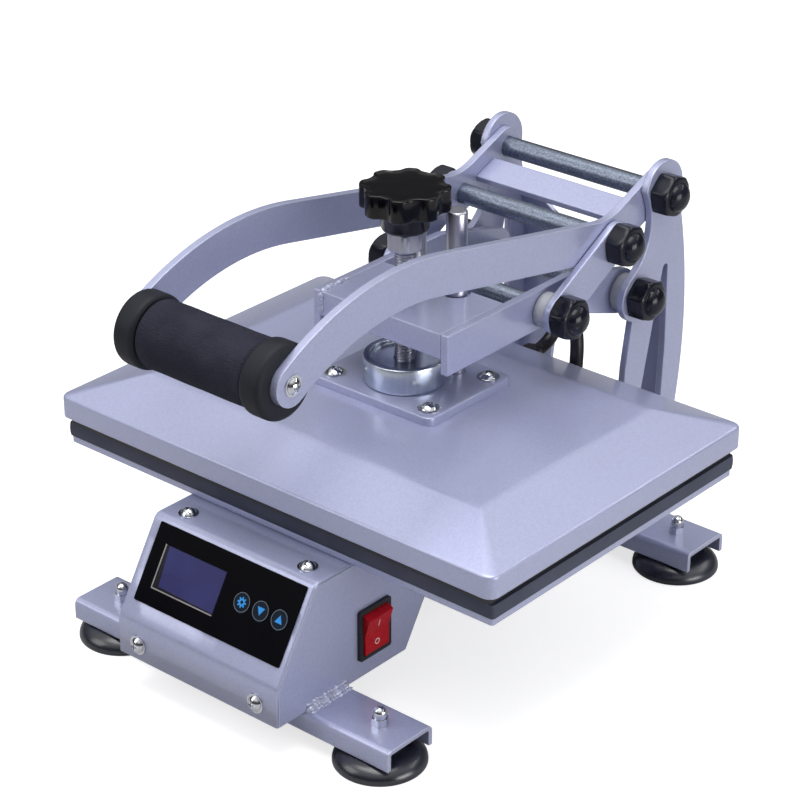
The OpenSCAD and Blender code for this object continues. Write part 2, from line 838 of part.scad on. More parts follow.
module power_rocker() {
    reach = 2 * rocker_r;
    color("red") placed() {
        translate([rocker_x, switch_y + rocker_w / 2, switch_z]) rotate([90, 0, 0])
            linear_extrude(rocker_w) intersection() {
                circle(rocker_r);
                polygon([
                    [-4, -reach], [rocker_face, -reach], [rocker_face, 0],
                    [rocker_face + reach * tan(rocker_tilt), reach], [-4, reach]
                ]);
            }
        cross_pin(rocker_pin_d, rocker_w + 2 * fit_gap + 1.8);
    }
}

module mains_gland() {
    color(black) placed() translate([-box_w / 2, mains_y, mains_z]) rotate([0, -90, 0])
        difference() {
            union() {
                translate([0, 0, -sheet_t - 6]) cylinder(d = gland_d, h = sheet_t + 6);
                cylinder(d = gland_flange_d, h = 5);
                cylinder(d = gland_neck_d, h = gland_len - sheet_t - 6);
            }
            translate([0, 0, -gland_len]) cylinder(d = mains_bore_d, h = 3 * gland_len);
        }
}

module box_gland() {
    color(black) placed() translate(box_gland_mid) rotate([90 - slope_tilt, 0, 0]) {
        translate([0, 0, -sheet_t]) cylinder(d = gland_neck_d - 4, h = sheet_t + 4);
        mirror([0, 0, 1]) difference() {
            cylinder(d = box_gland_d, h = box_gland_len);
            translate([0, 0, box_gland_len - box_gland_bore])
                cylinder(d = cable_d + 2 * seat_gap, h = box_gland_len);
        }
    }
}

// Pivot rods and caps

module top_pivot_rod() { color(zinc) placed() cross_bar(top_pivot, rod_d, -rod_end, rod_end); }

module rear_pivot_rod() { color(zinc) placed() cross_bar(rear_pivot, rod_d, -rod_end, rod_end); }

spacer_d = 22;

module pivot_spacers() {
    x0 = arm_out + side_gap;
    color(zinc) placed() both_sides() difference() {
        cross_bar(rear_pivot, spacer_d, x0, frame_in);
        cross_bar(rear_pivot, rod_d + 2 * seat_gap, x0 - 1, frame_in + 1);
    }
}

module pivot_cap(p) {
    dome_r = cap_af * 0.38;
    ball = (dome_r * dome_r + cap_dome_h * cap_dome_h) / (2 * cap_dome_h);
    chamfer = (cap_af / cos(30) - cap_af) / 2;
    translate([frame_out, p[0], p[1]]) rotate([0, 90, 0]) rotate(12) difference() {
        union() {
            intersection() {
                hex(cap_af, cap_hex_h);
                union() {
                    cylinder(d = 2 * cap_af, h = cap_hex_h - chamfer);
                    translate([0, 0, cap_hex_h - chamfer])
                        cylinder(d1 = cap_af / cos(30), d2 = cap_af, h = chamfer);
                }
            }
            intersection() {
                translate([0, 0, cap_hex_h + cap_dome_h - ball]) sphere(ball);
                cylinder(r = dome_r, h = cap_hex_h + cap_dome_h);
            }
        }
        translate([0, 0, -1]) cylinder(d = rod_d + 2 * seat_gap, h = cap_bore_h + 1);
    }
}

module frame_pivot_caps() {
    color(black) placed() both_sides() {
        pivot_cap(top_pivot);
        pivot_cap(rear_pivot);
    }
}

module handle_pin_caps() { color(black) placed() both_sides() pivot_cap(knee); }

module link_stud_caps() { color(black) placed() both_sides() pivot_cap(link_pin); }

// Handle

module handle_outline() {
    straight = [cos(straight_tilt), -sin(straight_tilt)];
    tail = [cos(tail_tilt), sin(tail_tilt)];
    normal = unit([-straight[1], straight[0]] + [-tail[1], tail[0]]);
    w = handle_w - seat_gap;
    corner = knee + normal * w / 2 / cos((straight_tilt + tail_tilt) / 2);
    difference() {
        union() {
            intersection() {
                translate(bow_mid) difference() {
                    circle(bow_r + handle_w / 2, $fn = 256);
                    circle(bow_r - handle_w / 2, $fn = 256);
                }
                polygon([
                    bow_mid, bow_mid + 2 * (bow_end - bow_mid),
                    bow_mid + [0, 3 * bow_r], bow_mid + 2 * (grip - bow_mid)
                ]);
            }
            translate(grip) circle(d = w);
            bar(bow_end - straight, knee, w);
            translate(knee) circle(d = w - seat_gap);
            bar(knee, top_pivot, w);
            translate(top_pivot) circle(d = w - seat_gap);
            corner_fillet(corner, -straight, tail, valley_r);
        }
        translate(knee) circle(d = rod_d + 2 * seat_gap);
        translate(top_pivot) circle(d = rod_d + 2 * run_gap);
        translate(grip) circle(d = shank_d + 2 * seat_gap);
    }
}

module handle_arm_right() { color(paint) placed() plate_at(handle_in, handle_t) handle_outline(); }

module handle_arm_left() { color(paint) placed() plate_at(-handle_out, handle_t) handle_outline(); }

// Flat plate between the arms, midway from the knee to the top pivot
module handle_tie_plate() {
    middle = (knee + top_pivot) / 2;
    color(paint) placed() translate([-handle_in, middle[0], middle[1]])
        rotate([tail_tilt, 0, 0]) translate([0, -tie_w / 2, -handle_t / 2])
            cube([handle_gap, tie_w, handle_t]);
}

module handle_pin() { color(zinc) placed() cross_bar(knee, rod_d, -rod_end, rod_end); }

module grip_rod() {
    color(zinc) placed() difference() {
        cross_bar(grip, grip_rod_d, -handle_in, handle_in);
        both_sides() cross_bar(grip, shank_d + 2 * seat_gap, handle_in - 16, handle_in + 1);
    }
}

module sleeve(d, x0, x1) {
    difference() {
        cross_bar(grip, d, x0, x1);
        cross_bar(grip, grip_rod_d + 2 * seat_gap, x0 - 1, x1 + 1);
    }
}

module foam_grip() {
    half = handle_in - collar_len;
    color(rubber) placed() sleeve(grip_d, -half, half);
}

module grip_collars() {
    color(rubber) placed() both_sides() sleeve(collar_d, handle_in - collar_len, handle_in);
}

module grip_screws() {
    color(chrome) placed() both_sides()
        translate([handle_out, grip[0], grip[1]]) rotate([0, 90, 0]) pan_screw(pan_d, shank_d, handle_t + 14);
}

// Links

module link_outline() {
    difference() {
        strip(knee, link_pin, link_w);
        translate(knee) circle(d = rod_d + 2 * run_gap);
        translate(link_pin) circle(d = rod_d + 2 * seat_gap);
    }
}

module link_right() { color(paint) placed() plate_at(frame_in, frame_t) link_outline(); }

module link_left() { color(paint) placed() plate_at(-frame_out, frame_t) link_outline(); }

module link_studs() { color(zinc) placed() both_sides() cross_bar(link_pin, rod_d, frame_in, rod_end); }

// Press arm

module press_side_outline() {
    shoulder = link_pin[0] + 23;
    upper = [shoulder, arm_top_z];
    lower = [shoulder, arm_z];
    difference() {
        union() {
            polygon([
                [arm_front_y, arm_top_z], [arm_front_y, arm_z], lower,
                touch(lower, rear_pivot, tail_r - seat_gap, 1), rear_pivot,
                touch(upper, rear_pivot, tail_r - seat_gap, -1), upper
            ]);
            translate(rear_pivot) circle(tail_r);
        }
        translate(rear_pivot) circle(d = rod_d + 2 * run_gap);
        translate(link_pin) circle(d = rod_d + 2 * seat_gap);
    }
}

module press_arm_right() { color(paint) placed() plate_at(arm_in, arm_t) press_side_outline(); }

module press_arm_left() { color(paint) placed() plate_at(-arm_out, arm_t) press_side_outline(); }

post_hole_d = post_d + 4;

module press_arm_top() {
    color(paint) placed() difference() {
        union() {
            translate([-arm_in, arm_front_y, arm_top_z - arm_t]) cube([2 * arm_in, arm_top_len, arm_t]);
            translate([-arm_in, arm_front_y, arm_top_z - arm_front_h])
                cube([2 * arm_in, arm_t, arm_front_h]);
        }
        translate([0, screw_y, arm_z]) cylinder(d = screw_d + 2 * fit_gap, h = 2 * arm_h);
        at_posts() cylinder(d = post_hole_d, h = 2 * arm_top_z);
    }
}

pin_collar_d = 20;

module press_arm_pin() {
    color(zinc) placed() {
        cross_bar(link_pin, rod_d, -arm_out, arm_out);
        both_sides() cross_bar(link_pin, pin_collar_d, arm_out, handle_out);
    }
}

boss_af = 21;
boss_h = 8;

module pressure_nut() {
    color(zinc) placed() translate([0, screw_y, arm_top_z - arm_t - boss_h]) difference() {
        hex(boss_af, boss_h);
        translate([0, 0, -1]) cylinder(d = screw_d + 2 * run_gap, h = boss_h + 2);
    }
}

// Platen

// The cover's outline: a rounded rectangle whose top is a hipped pan
module pan(shrink, floor_z) {
    w = cover_w / 2 - shrink;
    d = cover_d / 2 - shrink;
    top = top_z - shrink;
    brow = brow_z - shrink * tan(slope_angle() / 2);
    run = slope_w - shrink * tan(slope_angle() / 2);
    intersection() {
        translate([0, 0, floor_z])
            linear_extrude(top_z) rounded_rect(2 * w, 2 * d, max(cover_r - shrink, 0.5));
        translate([0, d, 0]) rotate([90, 0, 0]) linear_extrude(2 * d) hipped(w, floor_z, brow, run, top);
        translate([-w, 0, 0]) rotate([90, 0, 90]) linear_extrude(2 * w) hipped(d, floor_z, brow, run, top);
    }
}

function slope_angle() = atan2(slope_rise, slope_w);

module hipped(half, floor_z, brow, run, top) {
    polygon([
        [-half, floor_z], [half, floor_z], [half, brow], [half - run, top],
        [run - half, top], [-half, brow]
    ]);
}

module at_flange_screws() {
    for (x = [-1, 1], y = [-1, 1])
        translate([x * flange_pitch_x / 2, flange_y + y * flange_pitch_y / 2, 0]) children();
}

module platen_cover() {
    color(paint) placed() difference() {
        pan(0, skirt_z);
        pan(cover_t, skirt_z - 1);
        at_flange_screws() cylinder(d = shank_d + 2 * fit_gap, h = 2 * top_z);
        translate([cable_x, cover_d / 2 + 1, cable_out_z])
            rotate([90, 0, 0]) cylinder(d = platen_gland_d - 4 + 2 * seat_gap, h = cover_t + 2);
    }
}

boss_d = 12;
tapped = 15;

module heating_plate() {
    w = cover_w - 2 * (cover_t + heat_gap);
    d = cover_d - 2 * (cover_t + heat_gap);
    roof = top_z - cover_t;
    color(slate) placed() difference() {
        union() {
            translate([0, 0, heat_z]) linear_extrude(heat_t) rounded_rect(w, d, 2);
            at_flange_screws() translate([0, 0, heat_z + heat_t / 2])
                cylinder(d = boss_d, h = roof - heat_z - heat_t / 2);
        }
        at_flange_screws() translate([0, 0, roof - tapped])
            cylinder(d = shank_d + 2 * seat_gap, h = tapped + 1);
    }
}

// Four straight runs between the bosses, joined by half turns
module heating_element() {
    pitch = flange_pitch_y;
    color([0.45, 0.44, 0.42]) placed()
        translate([0, flange_y - 2 * pitch, heat_top_z + element_d / 2]) {
            for (i = [0 : 3])
                translate([-element_run / 2, i * pitch, 0]) rotate([0, 90, 0])
                    cylinder(d = element_d, h = element_run);
            for (i = [0 : 2])
                translate([(i % 2 == 0 ? 1 : -1) * element_run / 2, (i + 0.5) * pitch, 0])
                    rotate(i % 2 == 0 ? -90 : 90) rotate_extrude(angle = 180)
                        translate([pitch / 2, 0]) circle(d = element_d);
        }
}

// The blanket ends just inside the element's bends
blanket_in = 1;
blanket_w = element_run + flange_pitch_y + element_d - 2 * blanket_in;
blanket_margin = 32;

module insulation_blanket() {
    color("wheat") placed() difference() {
        translate([0, 0, heat_top_z + element_d])
            linear_extrude(blanket_t)
                square([blanket_w, cover_d - 2 * blanket_margin], center = true);
        at_flange_screws() cylinder(d = boss_d + 4 * fit_gap, h = 2 * top_z);
    }
}

module flange_plate() {
    color(paint) placed() difference() {
        translate([0, flange_y, top_z]) linear_extrude(flange_t) rounded_rect(flange_w, flange_d, 2.5);
        at_flange_screws() cylinder(d = shank_d + 2 * fit_gap, h = 2 * top_z);
    }
}

module flange_screws() {
    color(chrome) placed() at_flange_screws()
        translate([0, 0, flange_top_z]) pan_screw(pan_d + 1, shank_d, flange_t + cover_t + tapped - 2);
}

thrust_d = 22;
thrust_h = 3;
keeper_h = 2;

// Zinc cup that the screw presses into, with the ring that keeps the screw's foot in
module pressure_puck() {
    wall = 4;
    bowl = puck_d - 2 * wall;
    color(zinc) placed() translate([0, screw_y, 0]) {
        difference() {
            translate([0, 0, flange_top_z]) cylinder(d = puck_d, h = puck_h);
            translate([0, 0, recess_z]) cylinder(d = bowl, h = puck_h);
        }
        translate([0, 0, recess_z]) difference() {
            cylinder(d = bowl, h = thrust_h + 2 * thrust_gap + keeper_h);
            translate([0, 0, -1]) cylinder(d = screw_d + 2 * fit_gap, h = puck_h);
            translate([0, 0, -1]) cylinder(d = thrust_d + 2 * fit_gap, h = 1 + thrust_h + 2 * thrust_gap);
        }
    }
}

module at_posts() {
    for (x = [-post_x, post_x]) translate([x, post_y, 0]) children();
}

module guide_posts() {
    color(chrome) placed() at_posts() translate([0, 0, flange_top_z]) cylinder(d = post_d, h = post_h);
}

module platen_gland() {
    color(black) placed() translate([cable_x, cover_d / 2, cable_out_z]) rotate([-90, 0, 0]) {
        translate([0, 0, -cover_t]) cylinder(d = platen_gland_d - 4, h = cover_t + 4);
        cylinder(d = platen_gland_d, h = platen_gland_len / 2);
        translate([0, 0, platen_gland_len / 2])
            cylinder(d1 = platen_gland_d, d2 = cable_d + 1, h = platen_gland_len / 2);
    }
}

// Pressure screw and knob

module pressure_screw() {
    color(zinc) placed() translate([0, screw_y, recess_z + thrust_gap]) {
        cylinder(d = thrust_d, h = thrust_h);
        cylinder(d = screw_d, h = hub_z + hub_h - recess_z - thrust_gap);
    }
}

knob_turned = -13.3;
nut_turned = 10.7;

module star_outline() {
    circle(d = knob_valley_d);
    for (i = [0 : knob_lobes - 1])
        rotate(i * 360 / knob_lobes + knob_turned)
            translate([(knob_d - lobe_d) / 2, 0]) circle(d = lobe_d);
}

module star_knob() {
    color(black) placed() translate([0, screw_y, hub_z]) difference() {
        union() {
            cylinder(d = hub_d, h = hub_h);
            translate([0, 0, hub_h]) linear_extrude(knob_h) star_outline();
        }
        translate([0, 0, -1]) cylinder(d = screw_d + 2 * seat_gap, h = hub_h + 1);
    }
}

module jam_nut() {
    color(chrome) placed() translate([0, screw_y, jam_z]) rotate(nut_turned) difference() {
        hex(jam_af, jam_h);
        translate([0, 0, -1]) cylinder(d = screw_d + 2 * seat_gap, h = jam_h + 2);
    }
}

// Heater cable

module heater_cable() {
    sides = 10;
    lift = carried(arch, 0, [0, 0, 1]);
    rings = len(arch);
    points = [
        for (i = [0 : rings - 1], k = [0 : sides - 1])
            let (t = heading(arch, i), a = 360 * k / sides)
            arch[i] + cable_d / 2 * (cos(a) * lift[i] + sin(a) * cross(t, lift[i]))
    ];
    faces = concat(
        [[for (k = [0 : sides - 1]) k]],
        [for (i = [0 : rings - 2], k = [0 : sides - 1], half = [0, 1])
            let (a = i * sides + k, b = i * sides + (k + 1) % sides)
            half == 0 ? [a, a + sides, b + sides] : [a, b + sides, b]],
        [[for (k = [sides - 1 : -1 : 0]) (rings - 1) * sides + k]]
    );
    color(black) placed() polyhedron(points, faces);
}

front_crossbar();
rear_crossbar();
base_spine();
suction_feet();
foot_studs();
foot_nuts();
rear_pedestal();
upright_left();
upright_right();
lower_plate();
silicone_pad();
control_box_shell();
control_box_cover();
cover_screws();
panel_facia();
lcd_display();
controller_board();
power_relay();
switch_housing();
mains_gland();
top_pivot_rod();
rear_pivot_rod();
pivot_spacers();
frame_pivot_caps();
box_gland();
heater_cable();
power_rocker();
button_set();
button_down();
button_up();
handle_arm_left();
handle_arm_right();
handle_tie_plate();
grip_rod();
foam_grip();
grip_collars();
grip_screws();
handle_pin();
handle_pin_caps();
link_left();
link_right();
link_studs();
link_stud_caps();
press_arm_left();
press_arm_right();
press_arm_top();
press_arm_pin();
pressure_nut();
platen_cover();
heating_plate();
heating_element();
insulation_blanket();
flange_plate();
flange_screws();
pressure_puck();
guide_posts();
platen_gland();
pressure_screw();
star_knob();
jam_nut();
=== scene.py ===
# %% [markdown]
# # A bench-top heat press, dressed for its picture
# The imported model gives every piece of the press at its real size, in metres, standing on z = 0.
# This lesson puts the finishes on it: powder-coated steel, zinc, chrome, foam, rubber and a dark panel.
# Nothing here moves or resizes the construction. What a plain solid can't show is made as a new surface.

# %% The frame
import json

import bmesh
import bpy
import numpy as np
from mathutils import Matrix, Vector


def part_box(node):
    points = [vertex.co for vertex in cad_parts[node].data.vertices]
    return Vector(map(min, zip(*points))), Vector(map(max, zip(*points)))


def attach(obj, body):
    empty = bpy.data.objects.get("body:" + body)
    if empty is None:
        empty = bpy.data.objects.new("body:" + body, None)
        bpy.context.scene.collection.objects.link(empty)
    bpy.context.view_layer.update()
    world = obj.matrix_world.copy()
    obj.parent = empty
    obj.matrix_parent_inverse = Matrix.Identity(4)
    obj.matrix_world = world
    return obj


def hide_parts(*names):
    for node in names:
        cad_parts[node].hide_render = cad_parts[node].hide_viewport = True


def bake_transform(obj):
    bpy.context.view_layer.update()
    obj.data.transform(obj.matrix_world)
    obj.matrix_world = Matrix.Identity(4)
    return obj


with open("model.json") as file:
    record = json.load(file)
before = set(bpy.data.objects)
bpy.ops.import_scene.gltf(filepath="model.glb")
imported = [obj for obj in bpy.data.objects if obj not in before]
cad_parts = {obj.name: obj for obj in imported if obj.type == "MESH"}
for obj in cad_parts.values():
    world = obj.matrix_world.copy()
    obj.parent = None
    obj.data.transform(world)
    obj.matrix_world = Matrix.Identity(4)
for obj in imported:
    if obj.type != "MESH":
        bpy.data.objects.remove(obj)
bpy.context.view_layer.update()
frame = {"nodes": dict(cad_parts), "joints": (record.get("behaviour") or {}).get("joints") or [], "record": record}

nodes = frame["nodes"]
record = frame["record"]
joints = {joint["name"]: joint for joint in frame["joints"]}
carrier = {name: body for body, names in record["behaviour"]["bodies"].items() for name in names}
mm = 0.001

# %% [markdown]
# ## The camera
# The picture was taken from the right and a little above, with a long lens, so lines hardly converge.
# A camera can be aimed by hand, or worked out from two angles and a distance. The angles were measured
# once on straight edges of the press, so the second way is used: the camera stands back from the aim
# point along the line of sight.

# %% Camera
def placed(name, data):
    """An object that holds this camera, mesh or lamp, linked to the scene."""
    thing = bpy.data.objects.new(name, data)
    bpy.context.scene.collection.objects.link(thing)
    return thing


view_azimuth = np.radians(40.688)
view_elevation = np.radians(26.745)
view_distance = 1.43647
aim_point = Vector((-0.0017, -0.0066, 0.1284))

line_of_sight = Vector((
    -np.sin(view_azimuth) * np.cos(view_elevation),
    np.cos(view_azimuth) * np.cos(view_elevation),
    -np.sin(view_elevation),
))
camera_data = bpy.data.cameras.new("photo_camera")
camera_data.sensor_width = 36
camera_data.lens = 116.7
camera = placed("photo_camera", camera_data)
camera.location = aim_point - view_distance * line_of_sight
camera.rotation_euler = line_of_sight.to_track_quat("-Z", "Y").to_euler()
bpy.context.scene.camera = camera
print("camera at", [round(c, 3) for c in camera.location])

# %% [markdown]
# ## Helpers for surfaces
# Every new piece is a stack of rings: a closed outline that changes from one ring to the next. Blender's
# own primitives would have to be bent into shape afterwards. A stack is written down as a formula, and one
# function joins any stack into a closed skin, so each piece below only says where its points are.

# %% Skins
def new_piece(name, points, faces, material=None, sharp=38):
    """A mesh object with its faces turned outwards and its edges sharp past an angle."""
    mesh = bpy.data.meshes.new(name)
    mesh.from_pydata(points, [], faces)
    outward = bmesh.new()
    outward.from_mesh(mesh)
    bmesh.ops.recalc_face_normals(outward, faces=outward.faces)
    outward.to_mesh(mesh)
    outward.free()
    mesh.shade_smooth()
    mesh.set_sharp_from_angle(angle=np.radians(sharp))
    if material:
        mesh.materials.append(material)
    print(name, len(mesh.polygons), "faces")
    return placed(name, mesh)


def skin(name, stacks, material=None, sharp=38, loop=False):
    """Joins stacks of rings into one mesh: point j of ring i meets point j + 1 and ring i + 1. With
    loop the last ring meets the first, and otherwise a flat face closes each end of a stack."""
    points, faces, start = [], [], 0
    for rings in stacks:
        count, around, _ = rings.shape
        i, j = np.meshgrid(np.arange(count - (not loop)), np.arange(around), indexing="ij")
        k = (j + 1) % around
        n = (i + 1) % count
        quads = np.stack([i * around + j, i * around + k, n * around + k, n * around + j], -1)
        faces += (quads.reshape(-1, 4) + start).tolist()
        last = start + (count - 1) * around
        if not loop:
            faces.append(list(range(start + around - 1, start - 1, -1)))
            faces.append(list(range(last, last + around)))
        points += rings.reshape(-1, 3).tolist()
        start = last + around
    return new_piece(name, points, faces, material, sharp)


def added(piece, body):
    """The piece rides on a body."""
    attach(piece, body)
    return piece


def stands_for(piece, name):
    """The piece takes the place of a CAD node, which is hidden, and rides with it."""
    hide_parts(name)
    return added(piece, carrier[name])


def span(name):
    """A node's lowest and highest corners, and its middle."""
    low, high = (np.array(corner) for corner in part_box(name))
    return low, high, (low + high) / 2


# %% [markdown]
# ## Outlines and paths
# A turned piece is a profile that goes round an axis, and a pressed or folded sheet is a line with soft
# corners. These few functions give such outlines as whole arrays. They could be drawn as curves by hand,
# but then a changed size would not change the shape.

# %% Turned profiles and soft corners
def unit(vector):
    return np.asarray(vector, float) / np.linalg.norm(vector)


def circle(around):
    return np.linspace(0, 2 * np.pi, around, endpoint=False)


def cross_frame(axis):
    """Two directions square to an axis and to each other."""
    axis = unit(axis)
    side = unit(np.cross(axis, [0.0, 0.0, 1.0] if abs(axis[2]) < 0.9 else [0.0, 1.0, 0.0]))
    return axis, side, np.cross(axis, side)


def turned(profile, centre, axis, around=64):
    """Rings of a turned piece: every (radius, height) of the profile goes once round the axis."""
    axis, side, other = cross_frame(axis)
    angle = circle(around)[:, None]
    turn = np.cos(angle) * side + np.sin(angle) * other
    profile = np.asarray(profile, float)
    return np.asarray(centre) + profile[:, 1, None, None] * axis + profile[:, 0, None, None] * turn


def softened(corners, reach, steps=8):
    """A polyline whose inner corners become parabolas that start and end `reach` from the corner."""
    corners = np.asarray(corners, float)
    reach = np.broadcast_to(reach, len(corners))
    t = np.linspace(0, 1, steps + 1)[:, None]
    runs = [corners[:1]]
    for before, corner, after, r in zip(corners[:-2], corners[1:-1], corners[2:], reach[1:-1]):
        first = corner + r * unit(before - corner)
        last = corner + r * unit(after - corner)
        runs.append((1 - t) ** 2 * first + 2 * t * (1 - t) * corner + t**2 * last)
    runs.append(corners[-1:])
    return np.concatenate(runs)


def round_rect(half_x, half_y, radius, steps=8):
    """Points round a rectangle whose corners are quarter circles, for one size or an array of them."""
    half_x, half_y, radius = (np.asarray(size, float)[..., None] for size in (half_x, half_y, radius))
    turn = np.linspace(0, np.pi / 2, steps + 1)
    angle = (np.arange(4)[:, None] * np.pi / 2 + turn).ravel()
    corner = np.repeat(np.arange(4) * np.pi / 2 + np.pi / 4, steps + 1)
    x = np.sign(np.cos(corner)) * (half_x - radius) + radius * np.cos(angle)
    y = np.sign(np.sin(corner)) * (half_y - radius) + radius * np.sin(angle)
    return np.stack([x, y], -1)


def levelled(outlines, levels, middle):
    """Rings from flat outlines: each goes round the middle, at its own level."""
    levels = np.broadcast_to(levels[:, None, None], (*outlines.shape[:2], 1))
    return np.concatenate([outlines + middle[:2], levels], -1)


def upright_rings(radius, angle, levels, middle):
    """Rings round an upright axis, with a radius of their own at every level and angle."""
    x = middle[0] + radius * np.cos(angle)
    y = middle[1] + radius * np.sin(angle)
    return np.stack(np.broadcast_arrays(x, y, levels), -1)


# %% [markdown]
# A cable or a weld follows a path. The path is a row of points, and a tube is a circle carried along it.

# %% Paths and tubes
def smooth_through(points, steps):
    """A curve through every point: the slope at a point is half the line between its two neighbours."""
    points = np.asarray(points, float)
    ends = 2 * points[:1] - points[1:2], 2 * points[-1:] - points[-2:-1]
    run = np.concatenate([ends[0], points, ends[1]])
    a, b, c, d = run[:-3], run[1:-2], run[2:-1], run[3:]
    t = np.linspace(0, 1, steps, endpoint=False)[:, None, None]
    squared = (a - 2.5 * b + 2 * c - d / 2) * t**2
    cubed = (1.5 * b - a / 2 - 1.5 * c + d / 2) * t**3
    curve = b + (c - a) * t / 2 + squared + cubed
    return np.concatenate([curve.transpose(1, 0, 2).reshape(-1, 3), points[-1:]])


def path_length(path):
    return float(np.linalg.norm(np.diff(path, axis=0), axis=1).sum())


def path_directions(path):
    """A unit vector along the path at each of its points."""
    along = np.gradient(path, axis=0)
    return along / np.linalg.norm(along, axis=1, keepdims=True)


def tube(path, radius, around=16):
    """Rings of a tube: a circle of the radius, square to the path, whose side is carried without twist."""
    along = path_directions(path)
    side = np.empty_like(path)
    carried = cross_frame(along[0])[1]
    for i, direction in enumerate(along):
        carried = unit(carried - direction * (carried @ direction))
        side[i] = carried
    other = np.cross(along, side)
    angle = circle(around)[:, None]
    radius = np.broadcast_to(radius, len(path))[:, None, None]
    return path[:, None] + radius * (np.cos(angle) * side[:, None] + np.sin(angle) * other[:, None])


# %% [markdown]
# ## The heater cable
# A sleeved cable feeds the heating element. It leaves the back of the platen, stands up in an arch, so
# that the platen can rise, and goes down through the pedestal to the box. It could be one piece, but
# the platen slides on the press arm, and the arm turns on the base. So it is two lengths that meet on the
# arch.

# %% Cable route
behind = np.array([0.0, span("platen_gland")[1][1], span("platen_gland")[2][2]]) / mm
fairlead = np.array([22, 84.95, 74.85])
box_end = np.array([20, -44.66, 43.73])
gland_way = np.array([0, 0.8526, -0.5225])
back_run, fall = 87.61, 31.12
route = [
    *(behind + offset for offset in np.array([
        (4, 0.3, 0), (4, 5, 0.4), (4.2, 10.8, 2.6), (4.6, 15.6, 7), (5.2, 18, 13), (6.8, 17.8, 20),
        (10.8, 15.2, 26.6), (16.6, 11.2, 30.6), (23, 6.8, 30.8), (29, 2.4, 27.2), (33, -0.6, 21),
        (35, -2.2, 13.6), (35.5, -3, 5.5), (35.5, -3.6, -3.2),
    ])),
    *(fairlead + offset for offset in np.array([
        (13.3, 20.2, 31.8), (12.8, 19.4, 23.4), (11.2, 17.4, 15.6), (8.6, 14, 9), (5.4, 9.8, 4),
        (2.4, 5, 1.1), (0, -0.8, 0), (-0.5, -8.5, -0.6), (-0.6, -16, -2), (-1, -32, -7.5),
    ])),
    box_end + (1, 0.85 * back_run, 0.66 * fall - 9), box_end + (0.6, 0.6 * back_run, 0.3 * fall - 12),
    box_end + (0.3, 0.37 * back_run, -12), box_end + 20 * gland_way + (0, 0, 2),
    box_end + 10 * gland_way, box_end - 7.98 * gland_way,
]
steps_per_point = 6
cable_path = smooth_through(np.array(route) * mm, steps_per_point)
arch_top = 8 * steps_per_point
print("cable", round(path_length(cable_path), 3), "m")

# %% [markdown]
# Each length is a tube round its share of the route.

# %% Cable lengths
cable_width = 8 * mm


def cable_piece(name, path):
    piece = skin(name, [tube(path, cable_width / 2)])
    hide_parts("heater_cable")
    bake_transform(piece)
    return piece


arch_path, lead_path = cable_path[:arch_top + 1], cable_path[arch_top:]
cable_arch = cable_piece(
    "heater_cable_arch", arch_path,
)
cable_lead = cable_piece(
    "heater_cable_lead", lead_path,
)

# %% [markdown]
# ## Helpers for finishes
# A finish is a Principled shader fed by a few node groups. Painting with images would need UV maps on
# every solid; procedural noise on Object coordinates needs none and has the same scale on every piece.
# The groups hold the patterns that change over a surface, and each finish sets its own constants.

# %% Building node groups
SOCKET_KINDS = {float: "NodeSocketFloat", tuple: "NodeSocketColor", Vector: "NodeSocketVector"}


def make_group(name, inputs, outputs):
    """An empty shader group with named sockets; inputs give a default, outputs a kind."""
    group = bpy.data.node_groups.new(name, "ShaderNodeTree")
    for socket, default in inputs.items():
        made = group.interface.new_socket(socket, in_out="INPUT", socket_type=SOCKET_KINDS[type(default)])
        made.default_value = default
    for socket, kind in outputs.items():
        group.interface.new_socket(socket, in_out="OUTPUT", socket_type=SOCKET_KINDS[kind])
    return group, group.nodes.new("NodeGroupInput"), group.nodes.new("NodeGroupOutput")


def node(tree, kind, settings=None, **inputs):
    """A node with its settings made and its inputs set or linked. An input is named, with _ for a space,
    or numbered, as i0 for the first."""
    made = tree.nodes.new(kind)
    for key, value in (settings or {}).items():
        setattr(made, key, value)
    for key, value in inputs.items():
        numbered = key[0] == "i" and key[1:].isdigit()
        socket = made.inputs[int(key[1:]) if numbered else key.replace("_", " ")]
        if isinstance(value, bpy.types.NodeSocket):
            tree.links.new(value, socket)
        else:
            socket.default_value = value
    return made


def maths(tree, operation, a, b=0.0, clamp=False):
    settings = {"operation": operation, "use_clamp": clamp}
    return node(tree, "ShaderNodeMath", settings, i0=a, i1=b).outputs[0]


def spread(tree, value, low, high, start=0.0, end=1.0):
    """Maps a value from start..end to low..high."""
    made = node(tree, "ShaderNodeMapRange", None, i0=value, i1=start, i2=end, i3=low, i4=high)
    return made.outputs[0]


def blend_colour(tree, share, a, b):
    return node(tree, "ShaderNodeMix", {"data_type": "RGBA"}, i0=share, i6=a, i7=b).outputs[2]


def scaled_colour(tree, colour, factor):
    return node(tree, "ShaderNodeVectorMath", {"operation": "SCALE"}, i0=colour, i3=factor).outputs[0]


def spots(tree, scale, detail=2.0, vector=None):
    """A noise value at so many spots to the metre, on Object coordinates."""
    where = vector or tree.nodes.new("ShaderNodeTexCoord").outputs["Object"]
    return node(tree, "ShaderNodeTexNoise", None, Vector=where, Scale=scale, Detail=detail).outputs[0]
